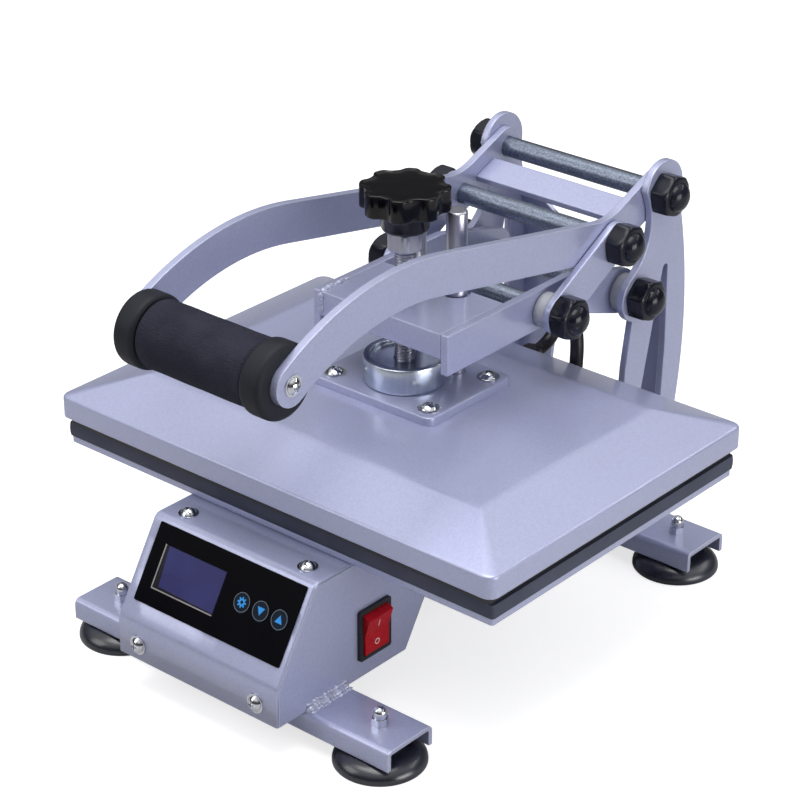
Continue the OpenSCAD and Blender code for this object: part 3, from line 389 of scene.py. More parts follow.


# %% [markdown]
# ## Shared patterns
# Edges of sheet metal and moulded plastic are never knife sharp. The rim pattern rounds the normal over
# about a millimetre and compares it with the true one: they differ only near an edge. It puts out both,
# so a finish can round the edge's light and tint the rim pale: a painted highlight along the edge, which
# also stands for paint that thins and plastic that wears pale there.

# %% Rim pattern
def rim_group():
    outputs = {"Rim": float, "Normal": Vector}
    group, into, out = make_group("worn_rim", {"Width": 0.001, "Strength": 3.0}, outputs)
    soft = node(group, "ShaderNodeBevel", {"samples": 6}, Radius=into.outputs["Width"])
    true = group.nodes.new("ShaderNodeNewGeometry")
    settings = {"operation": "DOT_PRODUCT"}
    same = node(group, "ShaderNodeVectorMath", settings, i0=soft.outputs[0], i1=true.outputs["Normal"])
    apart = maths(group, "SUBTRACT", 1.0, same.outputs["Value"])
    broken = maths(group, "MULTIPLY", apart, spread(group, spots(group, 160.0), 0.6, 1.3))
    # rim is the share of the pale painted highlight that a finish puts along edges
    rim = maths(group, "MULTIPLY", broken, into.outputs["Strength"], clamp=True)
    group.links.new(rim, out.inputs["Rim"])
    group.links.new(soft.outputs[0], out.inputs["Normal"])
    return group


worn_rim = rim_group()
print("group", worn_rim.name)

# %% [markdown]
# Grain is the orange peel and metal flake of a sprayed coat. Streaks are the drawn lines of plated bar,
# with the mottling that zinc gets in its bath. Handling is the dull patches that fingers leave.

# %% Grain, streaks and handling
PATTERN_OUT = {"Color": tuple, "Roughness": float, "Height": float}


def put_out(group, out, colour, rough, height):
    group.links.new(colour, out.inputs["Color"])
    group.links.new(rough, out.inputs["Roughness"])
    group.links.new(height, out.inputs["Height"])
    return group


def grain_group():
    defaults = {"Paint": (0.5, 0.5, 0.5, 1.0), "Flake": 0.1, "Flake Size": 1500.0, "Gloss": 0.4}
    group, into, out = make_group("sprayed_grain", defaults, PATTERN_OUT)
    where = group.nodes.new("ShaderNodeTexCoord").outputs["Object"]
    cells = node(group, "ShaderNodeTexVoronoi", None, Vector=where, Scale=into.outputs["Flake Size"])
    glint = spread(group, cells.outputs["Color"], -1.0, 1.0)
    cloud = spread(group, spots(group, 7.0, 3.0), 0.95, 1.05)
    shade = maths(group, "ADD", cloud, maths(group, "MULTIPLY", glint, into.outputs["Flake"]))
    colour = scaled_colour(group, into.outputs["Paint"], shade)
    rough = maths(group, "ADD", into.outputs["Gloss"], spread(group, spots(group, 25.0, 4.0), -0.06, 0.06))
    return put_out(group, out, colour, rough, spots(group, 900.0))


def streak_group():
    defaults = {
        "Metal": (0.6, 0.6, 0.6, 1.0), "Along X": 1.0, "Along Y": 1.0, "Along Z": 1.0,
        "Polish": 0.2, "Depth": 0.2, "Mottle": 0.1,
    }
    group, into, out = make_group("drawn_streaks", defaults, PATTERN_OUT)
    where = group.nodes.new("ShaderNodeTexCoord").outputs["Object"]
    axes = [into.outputs["Along " + letter] for letter in "XYZ"]
    stretch = node(group, "ShaderNodeCombineXYZ", None, i0=axes[0], i1=axes[1], i2=axes[2]).outputs[0]
    settings = {"operation": "MULTIPLY"}
    stretched = node(group, "ShaderNodeVectorMath", settings, i0=where, i1=stretch).outputs[0]
    lines = spots(group, 500.0, 4.0, stretched)
    mottling = spread(group, spots(group, 900.0, 3.0), -1.0, 1.0, 0.35, 0.65)
    shade = maths(group, "ADD", spread(group, lines, 0.92, 1.08, 0.3, 0.7),
                  maths(group, "MULTIPLY", mottling, into.outputs["Mottle"]))
    colour = scaled_colour(group, into.outputs["Metal"], shade)
    scratch = maths(group, "MULTIPLY", lines, into.outputs["Depth"])
    rough = maths(group, "ADD", into.outputs["Polish"], scratch)
    return put_out(group, out, colour, rough, lines)


def handling_group():
    defaults = {
        "Plain": (0.02, 0.02, 0.02, 1.0), "Dusty": (0.06, 0.06, 0.06, 1.0), "Low": 0.2, "High": 0.4,
    }
    group, into, out = make_group("handled_surface", defaults, PATTERN_OUT)
    patches = spots(group, 45.0, 4.0)
    dust = spread(group, patches, 0.0, 1.0, 0.4, 0.75)
    colour = blend_colour(group, dust, into.outputs["Plain"], into.outputs["Dusty"])
    rough = node(group, "ShaderNodeMapRange", None, i0=patches, i1=0.3, i2=0.7,
                 i3=into.outputs["Low"], i4=into.outputs["High"]).outputs[0]
    return put_out(group, out, colour, rough, spots(group, 1100.0))


sprayed_grain = grain_group()
drawn_streaks = streak_group()
handled_surface = handling_group()
print("groups", [group.name for group in bpy.data.node_groups])

# %% [markdown]
# ## Putting a finish together
# Each finish places one pattern group, tints its rims with a painted highlight, and sends the pattern's height to
# a Bump node.
# A bump only bends the light, so it is kept to what is too small to model: peel, streaks and foam pores.

# %% Finish maker
def finish(name, group, values, rim=None, rim_width=0.001, rim_strength=3.0,
           bump=0.05, bump_depth=0.0003, **shader):
    """A material: the pattern group feeds colour, roughness and bump, the rest sits on the shader."""
    material = bpy.data.materials.new(name)
    material.use_nodes = True
    tree = material.node_tree
    principled = tree.nodes["Principled BSDF"]
    for key, value in shader.items():
        principled.inputs[key.replace("_", " ")].default_value = value
    pattern = node(tree, "ShaderNodeGroup", {"node_tree": group})
    for key, value in values.items():
        pattern.inputs[key].default_value = value
    colour = pattern.outputs["Color"]
    raised = node(tree, "ShaderNodeBump", None, Strength=bump, Distance=bump_depth,
                  Height=pattern.outputs["Height"])
    # rim is the colour of a pale painted highlight along edges
    if rim:
        edge = node(tree, "ShaderNodeGroup", {"node_tree": worn_rim},
                    Width=rim_width, Strength=rim_strength)
        colour = blend_colour(tree, edge.outputs["Rim"], colour, rim)
        tree.links.new(edge.outputs["Normal"], raised.inputs["Normal"])
    tree.links.new(colour, principled.inputs["Base Color"])
    tree.links.new(pattern.outputs["Roughness"], principled.inputs["Roughness"])
    tree.links.new(raised.outputs[0], principled.inputs["Normal"])
    return material


# %% [markdown]
# ## Powder coat
# The frame, platen and box are steel with a silver powder coat that has a lavender cast. Real
# powder melts into a slightly uneven skin with fine flake in it. It is part metallic, so that it takes
# a soft sheen from the lights. Its edges are tinted paler: a painted highlight on the rounded edge, where
# the coat is also thin. A clear layer on top gives the bends their crisp bright lines. Over the welds the
# same coat is rougher and more silver.

# %% Powder coat
powder_coat = finish(
    "powder_coat", sprayed_grain,
    {"Paint": (0.362, 0.383, 0.558, 1), "Flake": 0.07, "Flake Size": 1200.0, "Gloss": 0.38},
    # rim: pale painted highlight along every edge
    rim=(0.74, 0.76, 0.86, 1), rim_strength=2.6, bump=0.12, Metallic=0.4,
    Coat_Weight=0.7, Coat_Roughness=0.13,
)
weld_coat = finish(
    "weld_coat", sprayed_grain,
    {"Paint": (0.40, 0.415, 0.55, 1), "Flake": 0.07, "Flake Size": 900.0, "Gloss": 0.42},
    bump=0.2, bump_depth=0.0004, Metallic=0.35,
)
print("paint", powder_coat.name, weld_coat.name)

# %% [markdown]
# ## Bright metal
# Pivot rods and the puck are zinc plated and mottled. Screws, nuts and guide posts are brighter. A
# metal's colour is its reflection, so Metallic is 1 and the pattern works through roughness as much as
# colour: smooth lines flash, rough ones stay grey.

# %% Zinc and chrome
ALONG = {"x": (0.06, 1.0, 1.0), "z": (1.0, 1.0, 0.05)}


def bright_metal(name, metal, along, polish, depth, mottle, **more):
    stretch = dict(zip(("Along X", "Along Y", "Along Z"), ALONG[along]))
    values = {"Metal": metal, "Polish": polish, "Depth": depth, "Mottle": mottle, **stretch}
    return finish(name, drawn_streaks, values, bump=0.05, Metallic=1.0, **more)


zinc_rod = bright_metal("zinc_rod", (0.20, 0.23, 0.29, 1), "x", 0.28, 0.2, 0.3)
# The puck, the posts and the nut get a pale rim: a painted highlight along their edges.
zinc_puck = bright_metal("zinc_puck", (0.55, 0.60, 0.68, 1), "z", 0.2, 0.1, 0.03,
                         rim=(0.85, 0.88, 0.92, 1), rim_width=0.0008)
chrome = bright_metal("chrome", (0.62, 0.63, 0.67, 1), "z", 0.08, 0.1, 0.06)
post_steel = bright_metal("post_steel", (0.54, 0.54, 0.62, 1), "z", 0.27, 0.12, 0.03,
                          rim=(0.7, 0.71, 0.76, 1), rim_width=0.0012)
nut_zinc = bright_metal("nut_zinc", (0.34, 0.35, 0.42, 1), "z", 0.28, 0.08, 0.05,
                        rim=(0.75, 0.76, 0.82, 1), rim_width=0.0007)
print("metals", zinc_rod.name, zinc_puck.name, chrome.name, post_steel.name, nut_zinc.name)

# %% [markdown]
# ## Black plastics, rubber, foam and silicone
# The press has many blacks that differ only in gloss and grain: a polished knob, satin caps,
# wet-looking rubber cups, a matt foam grip and a slate sponge pad. One pattern group serves them all, with
# a roughness range for each. The knob and the caps get a pale rim, a painted highlight along their edges.
# Under a white sky a black would turn grey, so the reflection of each is set with the shader's specular level.

# %% Blacks
def handled(name, plain, dusty, low, high, shine=0.5, **more):
    values = {"Plain": (*plain, 1), "Dusty": (*dusty, 1), "Low": low, "High": high}
    return finish(name, handled_surface, values, Specular_IOR_Level=shine, **more)


# The pale rims of the knob and the caps below are painted highlights.
knob_black = handled(
    "knob_black", (0.002, 0.002, 0.003), (0.003, 0.003, 0.004), 0.1, 0.16, 0.3,
    rim=(0.4, 0.4, 0.43, 1), rim_width=0.0004, rim_strength=1.4, bump=0.02,
)
cap_black = handled(
    "cap_black", (0.005, 0.006, 0.012), (0.009, 0.010, 0.018), 0.15, 0.25, 0.28,
    rim=(0.11, 0.115, 0.14, 1), rim_width=0.0005, rim_strength=1.6, bump=0.03,
)
grip_foam = handled(
    "grip_foam", (0.019, 0.020, 0.032), (0.032, 0.034, 0.050), 0.85, 0.95, 0.12,
    bump=1.0, bump_depth=0.0009,
)
BLACKS = {
    # plain and dusty colour, lowest and highest roughness, specular level, bump
    "cup_rubber": ((0.007, 0.008, 0.016), (0.018, 0.020, 0.036), 0.24, 0.34, 0.8, 0.05),
    "cable_sleeve": ((0.005, 0.005, 0.008), (0.012, 0.012, 0.017), 0.3, 0.45, 0.35, 0.2),
    "collar_foam": ((0.009, 0.010, 0.015), (0.015, 0.016, 0.023), 0.5, 0.65, 0.22, 0.25),
    "pad_silicone": ((0.044, 0.050, 0.078), (0.065, 0.072, 0.105), 0.6, 0.8, 0.3, 0.4),
    "facia_gloss": ((0.0015, 0.0015, 0.003), (0.0025, 0.0025, 0.004), 0.25, 0.35, 0.03, 0.02),
    "switch_black": ((0.010, 0.010, 0.013), (0.018, 0.018, 0.022), 0.35, 0.5, 0.3, 0.1),
}
black = {name: handled(name, *row[:-1], bump=row[-1]) for name, row in BLACKS.items()}
for length in (cable_arch, cable_lead):
    length.data.materials.append(black["cable_sleeve"])
print("blacks", knob_black.name, cap_black.name, grip_foam.name, *black)

# %% [markdown]
# ## Colours on the panel, pale washers, and what sits inside
# The rocker is see-through red plastic that shows as a deep glossy red. The display is switched off:
# a violet film under glass. Icons are printed in light blue. The pivots turn against pale nylon washers.
# The heating plate has a dark coat that lets transfers go. The inner pieces show only when the press is
# taken apart, but each has its own material all the same.

# %% Coloured finishes
COLOURS = {
    # plain and dusty colour, lowest and highest roughness, specular level
    "rocker_red": ((0.34, 0.004, 0.010), (0.40, 0.006, 0.013), 0.2, 0.3, 0.2),
    "mark_white": ((0.75, 0.62, 0.62), (0.8, 0.7, 0.7), 0.4, 0.5),
    "icon_blue": ((0.03, 0.27, 0.72), (0.04, 0.32, 0.8), 0.4, 0.5, 0.2),
    "icon_ring": ((0.13, 0.16, 0.20), (0.16, 0.19, 0.23), 0.4, 0.5, 0.2),
    "key_black": ((0.002, 0.007, 0.017), (0.003, 0.009, 0.021), 0.3, 0.4, 0.12),
    "display_glass": ((0.004, 0.004, 0.010), (0.006, 0.006, 0.014), 0.2, 0.3, 0.2),
    "display_film": ((0.022, 0.022, 0.110), (0.030, 0.031, 0.140), 0.25, 0.35, 0.2),
    "bezel_metal": ((0.26, 0.25, 0.24), (0.34, 0.32, 0.30), 0.3, 0.45),
    "board_green": ((0.01, 0.10, 0.04), (0.015, 0.13, 0.05), 0.3, 0.5),
    "relay_black": ((0.012, 0.012, 0.014), (0.02, 0.02, 0.022), 0.4, 0.6),
    "blanket_wool": ((0.55, 0.48, 0.34), (0.65, 0.58, 0.44), 0.85, 0.95),
}
colour = {name: handled(name, *row) for name, row in COLOURS.items()}
washer_nylon = handled("washer_nylon", (0.36, 0.37, 0.41), (0.43, 0.44, 0.47), 0.4, 0.55, bump=0.1)
release_coat = handled("release_coat", (0.016, 0.017, 0.024), (0.024, 0.025, 0.032), 0.45, 0.6, bump=0.15)
element_oxide = handled("element_oxide", (0.10, 0.09, 0.08), (0.16, 0.14, 0.12), 0.45, 0.65, Metallic=0.8)
print("colours", *colour)

# %% [markdown]
# ## Finishes on the construction
# These CAD nodes already have the right shape and only take a material, with the mesh left as it is. The
# others are stood for by the pieces made below, which bring their own.

# %% Dressing the CAD nodes
NODE_FINISH = {
    powder_coat: ["front_crossbar", "rear_crossbar", "base_spine", "rear_pedestal", "control_box_shell"],
    zinc_rod: ["top_pivot_rod", "rear_pivot_rod", "handle_pin", "press_arm_pin", "link_studs", "grip_rod"],
    washer_nylon: ["pivot_spacers"],
    zinc_puck: ["pressure_nut"],
    chrome: ["cover_screws", "flange_screws", "grip_screws", "foot_studs", "foot_nuts"],
    black["switch_black"]: ["switch_housing", "mains_gland", "box_gland", "platen_gland"],
    black["facia_gloss"]: ["panel_facia"],
    colour["display_glass"]: ["lcd_display"],
    colour["rocker_red"]: ["power_rocker"],
    colour["key_black"]: ["button_set", "button_down", "button_up"],
    release_coat: ["heating_plate"],
    element_oxide: ["heating_element"],
    colour["blanket_wool"]: ["insulation_blanket"],
    colour["board_green"]: ["controller_board"],
    colour["relay_black"]: ["power_relay"],
}
for material, names in NODE_FINISH.items():
    for name in names:
        nodes[name].data.materials.clear()
        nodes[name].data.materials.append(material)
print("dressed", sum(len(names) for names in NODE_FINISH.values()), "nodes")

# %% [markdown]
# ## Plates with eased edges
# Handle arms, links, uprights and the press arm are cut from plate, and the cutter's edge is eased before
# the coat goes on. The CAD plate is right but knife sharp, and its triangles lie loose. A copy has them
# joined into whole faces first, and then a Bevel modifier can round every edge.

# %% Eased plates
EASED_EDGE = {
    0.7 * mm: ["handle_arm_left", "handle_arm_right", "upright_left", "upright_right", "link_left",
               "link_right", "press_arm_left", "press_arm_right", "handle_tie_plate"],
    0.5 * mm: ["lower_plate", "press_arm_top"],
}
merge_distance = 0.002 * mm
flat_angle, edge_angle = np.radians([0.4, 40])


def eased(name, width):
    """A copy of a CAD plate: doubles merged, flat triangles joined, and edges past 40 degrees bevelled."""
    plate = bmesh.new()
    plate.from_mesh(nodes[name].data)
    bmesh.ops.remove_doubles(plate, verts=plate.verts, dist=merge_distance)
    bmesh.ops.dissolve_limit(plate, angle_limit=flat_angle, verts=plate.verts, edges=plate.edges)
    mesh = bpy.data.meshes.new(name + "_eased")
    plate.to_mesh(mesh)
    plate.free()
    mesh.shade_smooth()
    mesh.materials.append(powder_coat)
    piece = placed(name + "_eased", mesh)
    bevel = piece.modifiers.new("eased_edge", "BEVEL")
    bevel.width = width
    bevel.segments = 2
    bevel.limit_method = "ANGLE"
    bevel.angle_limit = edge_angle
    piece.modifiers.new("even_light", "WEIGHTED_NORMAL").keep_sharp = True
    return stands_for(piece, name)


for width, names in EASED_EDGE.items():
    for name in names:
        eased(name, width)
print("eased", sum(len(names) for names in EASED_EDGE.values()), "plates")

# %% [markdown]
# ## Turned-in backs of the uprights
# Through the slot of each upright its own back shows, turned inwards and in shade. A press brake folds it
# from the edge of the plate. The edge is part of a large circle, so the fold is a stack of four-cornered
# rings that climb along that circle.

# %% Turned-in backs
low, high, _ = span("upright_right")
foot_back = span("rear_crossbar")[2][1] + 16 * mm
back_r, turn_in, back_sheet, lap, set_in = np.array([300, 25, 3, 0.5, 0.6]) * mm
back_mid = joints["arm_lift"]["pos_m"][2] - 29 * mm
taper_start, back_top = back_mid + 42 * mm, back_mid + 60 * mm
z = np.linspace(low[2] + 0.5 * mm, back_top, 70)[:, None]
arc = high[1] - back_r + np.sqrt(back_r**2 - (z - back_mid) ** 2)
foot_line = np.interp(z, [low[2], back_mid - 61 * mm], [foot_back, high[1]])
edge = np.minimum(arc, foot_line) - set_in
narrowing = np.interp(z, [taper_start, back_top], [1, 0.15])
free_side = [True, False, False, True]
corner_x = low[0] + np.array([-turn_in, lap, lap, -turn_in]) * np.where(free_side, narrowing, 1)
corner_y = np.array([-back_sheet, -back_sheet, 0, 0])
folds = [
    np.stack(np.broadcast_arrays(side * corner_x, edge + corner_y, z), -1) for side in (1, -1)
]
added(skin("upright_turned_backs", folds, powder_coat), "base")

# %% [markdown]
# ## Flange plate
# A thick plate spreads the screw's push over the platen. Its corners are rounded and its upper edge is
# broken: rounded rectangles, of which the last ones draw in along a quarter circle.

# %% Flange plate
low, high, middle = span("flange_plate")
flange_half, flange_corner, broken = (high - low)[:2] / 2, 5 * mm, 0.8 * mm
bend = np.radians(np.linspace(0, 90, 5))
draw_in = np.concatenate([[0], broken * (1 - np.cos(bend))])
level = np.concatenate([[low[2]], high[2] - broken + broken * np.sin(bend)])
outline = round_rect(flange_half[0] - draw_in, flange_half[1] - draw_in, flange_corner - draw_in)
flange = skin("flange_plate_rounded", [levelled(outline, level, middle)], powder_coat)
stands_for(flange, "flange_plate")

# %% [markdown]
# ## The platen's pan
# The cover over the heating plate is one sheet pressed into a hipped pan: an upright skirt, four slopes
# and a flat top, with bends that are soft because metal won't fold sharp. It is a profile of (inset,
# height) carried round a rectangle, inside and outside of the sheet, and the corners tighten up the hips.

# %% Platen pan
skirt_height, slope_width, slope_rise, pan_sheet = 12.5 * mm, 37 * mm, 12 * mm, 2 * mm
skirt_corner, hip_corner = 6 * mm, 1.2 * mm
low, high, middle = span("platen_cover")
half_x, half_y = (high - low)[:2] / 2
pan_top = skirt_height + slope_rise
flat_in = slope_width + 12 * mm

bend_reach = np.array([0, 1.7, 2.6, 0]) * mm
outside = softened([(0, 0), (0, skirt_height), (slope_width, pan_top), (flat_in, pan_top)], bend_reach)
inside = softened([
    (pan_sheet, 0), (pan_sheet, skirt_height - 0.7 * pan_sheet),
    (slope_width + 0.3 * pan_sheet, pan_top - pan_sheet), (flat_in, pan_top - pan_sheet),
], bend_reach)


def pan_rings(profile, sheet):
    """Rectangles whose sides move in by the inset, and whose corner radius falls with it."""
    inset, height = profile.T
    corner = np.interp(inset, [0, slope_width], [skirt_corner, hip_corner]) - sheet / 2
    corner = np.maximum(corner, hip_corner / 2)
    outline = round_rect(half_x - inset, half_y - inset, corner)
    return levelled(outline, low[2] + height, middle)


both_sides = np.concatenate([pan_rings(inside, pan_sheet)[::-1], pan_rings(outside, 0)])
stands_for(skin("platen_pan", [both_sides], powder_coat), "platen_cover")

# %% [markdown]
# ## The box's folded cover
# One sheet is folded over the top, down the sloping panel and down a lip. Its side edges are rolled in a
# little. A plain extrusion would be sharp and have no windows, so the sheet is a grid: a soft-cornered
# profile one way, columns across the box the other way. The grid's cells under the display and the
# buttons are left out, and Solidify gives the sheet its thickness.

# %% The panel's own frame
low, high, _ = span("control_box_cover")
slope_run, lip_height = 31.5 * mm, 21 * mm
top_edge = np.array([0, low[1] + slope_run, high[2]])
lip_edge = np.array([0, low[1], low[2] + lip_height])
down = unit(lip_edge - top_edge)
outwards = np.array([0, down[2], -down[1]])
facia_top = 0.8 * mm


def on_panel(x, fall, rise):
    """A point of the panel from its distance across, down the slope, and out of the sheet."""
    x, fall, rise = (np.asarray(part, float)[..., None] for part in (x, fall, rise))
    return top_edge + x * np.array([1.0, 0, 0]) + fall * down + rise * outwards


def panel_place(name):
    """Where a node's middle lies on the panel: across, and down the slope."""
    middle = span(name)[2]
    return middle[0], (middle - top_edge) @ down


lcd_x, lcd_fall = panel_place("lcd_display")
button_fall = panel_place("button_set")[1]
print("display at", round(lcd_x / mm, 1), round(lcd_fall / mm, 1), "buttons", round(button_fall / mm, 1))

# %% [markdown]
# The profile runs from the back of the top, over the two bends, to the foot of the lip. Rows and columns
# are set where the windows begin and end.

# %% Folded cover
lcd_half, slot_half = np.array([22.6, 12.5]) * mm, np.array([20, 6.2]) * mm
roll_r, cover_sheet = 1.4 * mm, 1.3 * mm
cover_half = (high - low)[0] / 2
slot_x = span("button_down")[2][0]
window_rows = np.sort([lcd_fall - lcd_half[1], lcd_fall + lcd_half[1],
                       button_fall - slot_half[1], button_fall + slot_half[1]])
window_columns = [lcd_x - lcd_half[0], lcd_x + lcd_half[0], slot_x - slot_half[0], slot_x + slot_half[0]]

on_slope = [on_panel(0, fall, 0) for fall in window_rows]
upper_bend = softened([[0, high[1], high[2]], top_edge, on_slope[0]], 3.2 * mm)
lower_bend = softened([on_slope[-1], lip_edge, [0, low[1], low[2]]], 4 * mm)
fold = np.concatenate([upper_bend[:-1], on_slope, lower_bend[1:]])
along = path_directions(fold)
fold_out = np.stack([np.zeros(len(fold)), along[:, 2], -along[:, 1]], -1)

roll = np.radians([75, 55, 35, 15, 0])
right_x, right_drop = cover_half - roll_r + roll_r * np.sin(roll), roll_r * (1 - np.cos(roll))
across_x = np.concatenate([-right_x, window_columns, right_x[::-1]])
across_drop = np.concatenate([right_drop, np.zeros(4), right_drop[::-1]])
across = across_x[None, :, None] * [1.0, 0, 0]
sheet = fold[:, None] + across - across_drop[None, :, None] * fold_out[:, None]

rows, columns = sheet.shape[:2]
centre = (sheet[:-1, :-1] + sheet[1:, 1:]) / 2
cell_fall = (centre - top_edge) @ down
cell_x = centre[..., 0]
in_lcd = (abs(cell_fall - lcd_fall) < lcd_half[1]) & (abs(cell_x - lcd_x) < lcd_half[0])
in_slot = (abs(cell_fall - button_fall) < slot_half[1]) & (abs(cell_x - slot_x) < slot_half[0])
first = np.arange(rows - 1)[:, None] * columns + np.arange(columns - 1)
quads = np.stack([first, first + 1, first + columns + 1, first + columns], -1)
quads = quads[~(in_lcd | in_slot)]
cover = new_piece("box_cover_folded", sheet.reshape(-1, 3).tolist(), quads.tolist(), powder_coat)
thick = cover.modifiers.new("sheet", "SOLIDIFY")
thick.thickness = cover_sheet
thick.offset = -1
stands_for(cover, "control_box_cover")

# %% [markdown]
# ## The star knob
# A moulded knob: a round hub below, and above it a star with eight lobes. A ring of this stack is a circle
# where its share is 0 and the star where it is 1. The star's radius is the valley's plus a wave whose crests
# are flattened with tanh, and the flat top lies inside a narrow raised rim.

# %% Star knob
low, _, middle = span("star_knob")
star_peak, star_valley = 25 * mm, 21.7 * mm
lobes, first_lobe, flatness = 8, np.radians(-13.3), 1.5

angle = circle(192)
wave = (1 + np.tanh(flatness * np.cos(lobes * (angle - first_lobe))) / np.tanh(flatness)) / 2
star = star_valley + (star_peak - star_valley) * wave
KNOB_RINGS = np.array([
    # share of the star, circle radius or inset of the star, height, in millimetres
    (0, 11.4, 0), (0, 12.6, 0.5), (0, 13.25, 1.8), (0, 13.25, 11.2), (0, 13.9, 11.8), (0, 15.2, 12.0),
    (1, 3.0, 12.0), (1, 1.0, 12.1), (1, 0.25, 12.5), (1, 0, 13.2), (1, 0, 24.6), (1, 0.12, 25.1),
    (1, 0.45, 25.4), (1, 0.9, 25.5), (1, 1.4, 25.45), (1, 1.9, 25.2), (1, 2.4, 24.95), (1, 4.5, 24.9),
    (0, 12.0, 24.85), (0, 0.5, 24.85),
])
share, size, height = KNOB_RINGS.T[:, :, None]
radius = np.where(share == 1, star - size * mm, size * mm)
knob_rings = upright_rings(radius, angle, low[2] + height * mm, middle)
knob = skin("star_knob_moulded", [knob_rings], knob_black, sharp=50)
stands_for(knob, "star_knob")

# %% [markdown]
# ## Hexagons with turned ends
# Pivot caps and the jam nut are hexagon bar whose ends were turned: the chamfer's cone meets each flat in
# an arc. Cutting one solid with another would do it. Here a ring's radius is the smaller of the hexagon's
# radius at that angle and the cone's radius at that height, with a soft minimum that rounds the edge.

# %% Hexagon rings
def hexagon_rings(flats, profile, centre, axis, across, turn, around=96):
    """Rings of a turned hexagon: radius = (hexagon^-p + cone^-p)^(-1/p), with a corner at `turn`
    degrees from `across`. The profile holds (height, cone radius) pairs."""
    axis, across = unit(axis), unit(across)
    other = np.cross(axis, across)
    angle = np.radians(turn) + circle(around)
    hexagon = flats / 2 / np.cos((angle - np.radians(turn)) % np.radians(60) - np.radians(30))
    profile = np.asarray(profile, float)
    sharpness = 60
    radius = (hexagon**-sharpness + profile[:, 1:]**-sharpness) ** (-1 / sharpness)
    direction = np.cos(angle)[:, None] * across + np.sin(angle)[:, None] * other
    return np.asarray(centre) + profile[:, 0, None, None] * axis + radius[..., None] * direction


# %% [markdown]
# ## Pivot caps
# Eight black caps close the ends of the pivot rods: a hexagon to turn them by, and a round crown.

# %% Pivot caps
cap_flats, cap_height, crown_r, crown_rise = 22.5 * mm, 11 * mm, 8.55 * mm, 5.5 * mm
cap_start, cap_turn = span("upright_right")[1][0], 12
crown = np.radians(np.linspace(0, 88, 12))
cap_profile = np.concatenate([
    np.array([
        (0, 11.7), (0.7, 12.8), (8.4, 12.8), (9.6, 12.3), (10.5, 11.4), (11.0, 10.2), (11.05, 9.0),
    ]) * mm,
    np.stack([cap_height + crown_rise * np.sin(crown), crown_r * np.cos(crown)], -1),
])
pivots = {
    "frame_pivot_caps": [joints["arm_lift"]["pos_m"], joints["handle_lift"]["pos_m"]],
    "handle_pin_caps": [joints["link_swing"]["pos_m"]],
    "link_stud_caps": [span("link_studs")[2]],
}


def pivot_cap(pivot, side):
    centre = (side * cap_start, pivot[1], pivot[2])
    return hexagon_rings(cap_flats, cap_profile, centre, (side, 0, 0), (0, 0, -1), cap_turn)


for name, places in pivots.items():
    caps = [pivot_cap(pivot, side) for pivot in places for side in (1, -1)]
    stands_for(skin(name + "_turned", caps, cap_black, sharp=30), name)

# %% [markdown]
# ## Bushes on the press arm's pin
# A pale bush fills the gap between the press arm and each link. It is a turned sleeve over the pin's collar.

# %% Pin bushes
arm_side = span("press_arm_right")[1][0]
bush_end = span("handle_arm_right")[1][0]
pin_low, pin_high, pin_place = span("press_arm_pin")
pin_r = (pin_high - pin_low)[1] / 2
bush_r, bush_bore, bush_edge = pin_r + 0.2 * mm, pin_r - 2 * mm, 0.6 * mm
bush_length = bush_end - arm_side
bush_profile = [
    (bush_bore, 0), (bush_r - bush_edge, 0), (bush_r, bush_edge), (bush_r, bush_length - bush_edge),
    (bush_r - bush_edge, bush_length), (bush_bore, bush_length),
]
bushes = [
    turned(bush_profile, (side * arm_side, pin_place[1], pin_place[2]), (side, 0, 0), 64) for side in (1, -1)
]
pin_bushes = skin("pin_bushes", bushes, washer_nylon, sharp=50, loop=True)
added(pin_bushes, "press_arm")

# %% [markdown]
# ## Pressure screw and jam nut
# The knob drives a threaded screw of 12 mm with a pitch of 1.75 mm, locked by a hexagon nut. A thread can be
# a swept triangle. Here the rod's radius is a rounded saw wave of height over pitch less angle over a
# turn, so that the ridge climbs one pitch a turn. The foot is a plain disc that the puck holds.

# %% Threaded screw
low, high, middle = span("pressure_screw")
pitch, thread_root, thread_crest = 1.75 * mm, 5.05 * mm, 5.95 * mm
foot_r, foot_height = 11 * mm, 3 * mm
thread_top, crispness = span("jam_nut")[0][2] + 1 * mm, 0.97

angle = circle(40)
level = np.arange(low[2] + foot_height, thread_top, pitch / 8)[:, None]
climb = level / pitch - angle / (2 * np.pi)
ridge = np.arcsin(crispness * np.sin(2 * np.pi * climb)) / np.arcsin(crispness)
radius = (thread_root + thread_crest) / 2 + (thread_crest - thread_root) / 2 * ridge
foot_edge = 0.4 * mm
foot_levels = low[2] + np.array([0, foot_edge, foot_height - foot_edge, foot_height])[:, None]
foot_radii = foot_r - np.array([foot_edge, 0, 0, foot_edge])[:, None]
end_levels = np.array([thread_top, high[2]])[:, None]
end_radii = np.full((2, 1), thread_root)
level = np.concatenate([foot_levels, level, end_levels])
ones = np.ones((1, len(angle)))
radius = np.concatenate([foot_radii * ones, radius, end_radii * ones])
screw_rings = upright_rings(radius, angle, level, middle)
screw = skin("pressure_screw_threaded", [screw_rings], nut_zinc, sharp=60)
stands_for(screw, "pressure_screw")

low, _, middle = span("jam_nut")
nut_flats, nut_turn, nut_foot = 19 * mm, 10.7, (middle[0], middle[1], low[2])
nut_profile = np.array([(0, 9.3), (0.5, 10.1), (1.0, 10.75), (10.0, 10.75), (10.5, 10.1), (11, 9.3)]) * mm
nut_rings = hexagon_rings(nut_flats, nut_profile, nut_foot, (0, 0, 1), (1, 0, 0), nut_turn)
stands_for(skin("jam_nut_turned", [nut_rings], nut_zinc, sharp=30), "jam_nut")

# %% [markdown]
# ## Puck and guide posts
# The screw presses on a zinc puck, turned from bar with broken edges, and a ring in its recess keeps the
# screw's foot in. Two posts beside it are ground bar with a chamfer. All are profiles turned on a lathe.

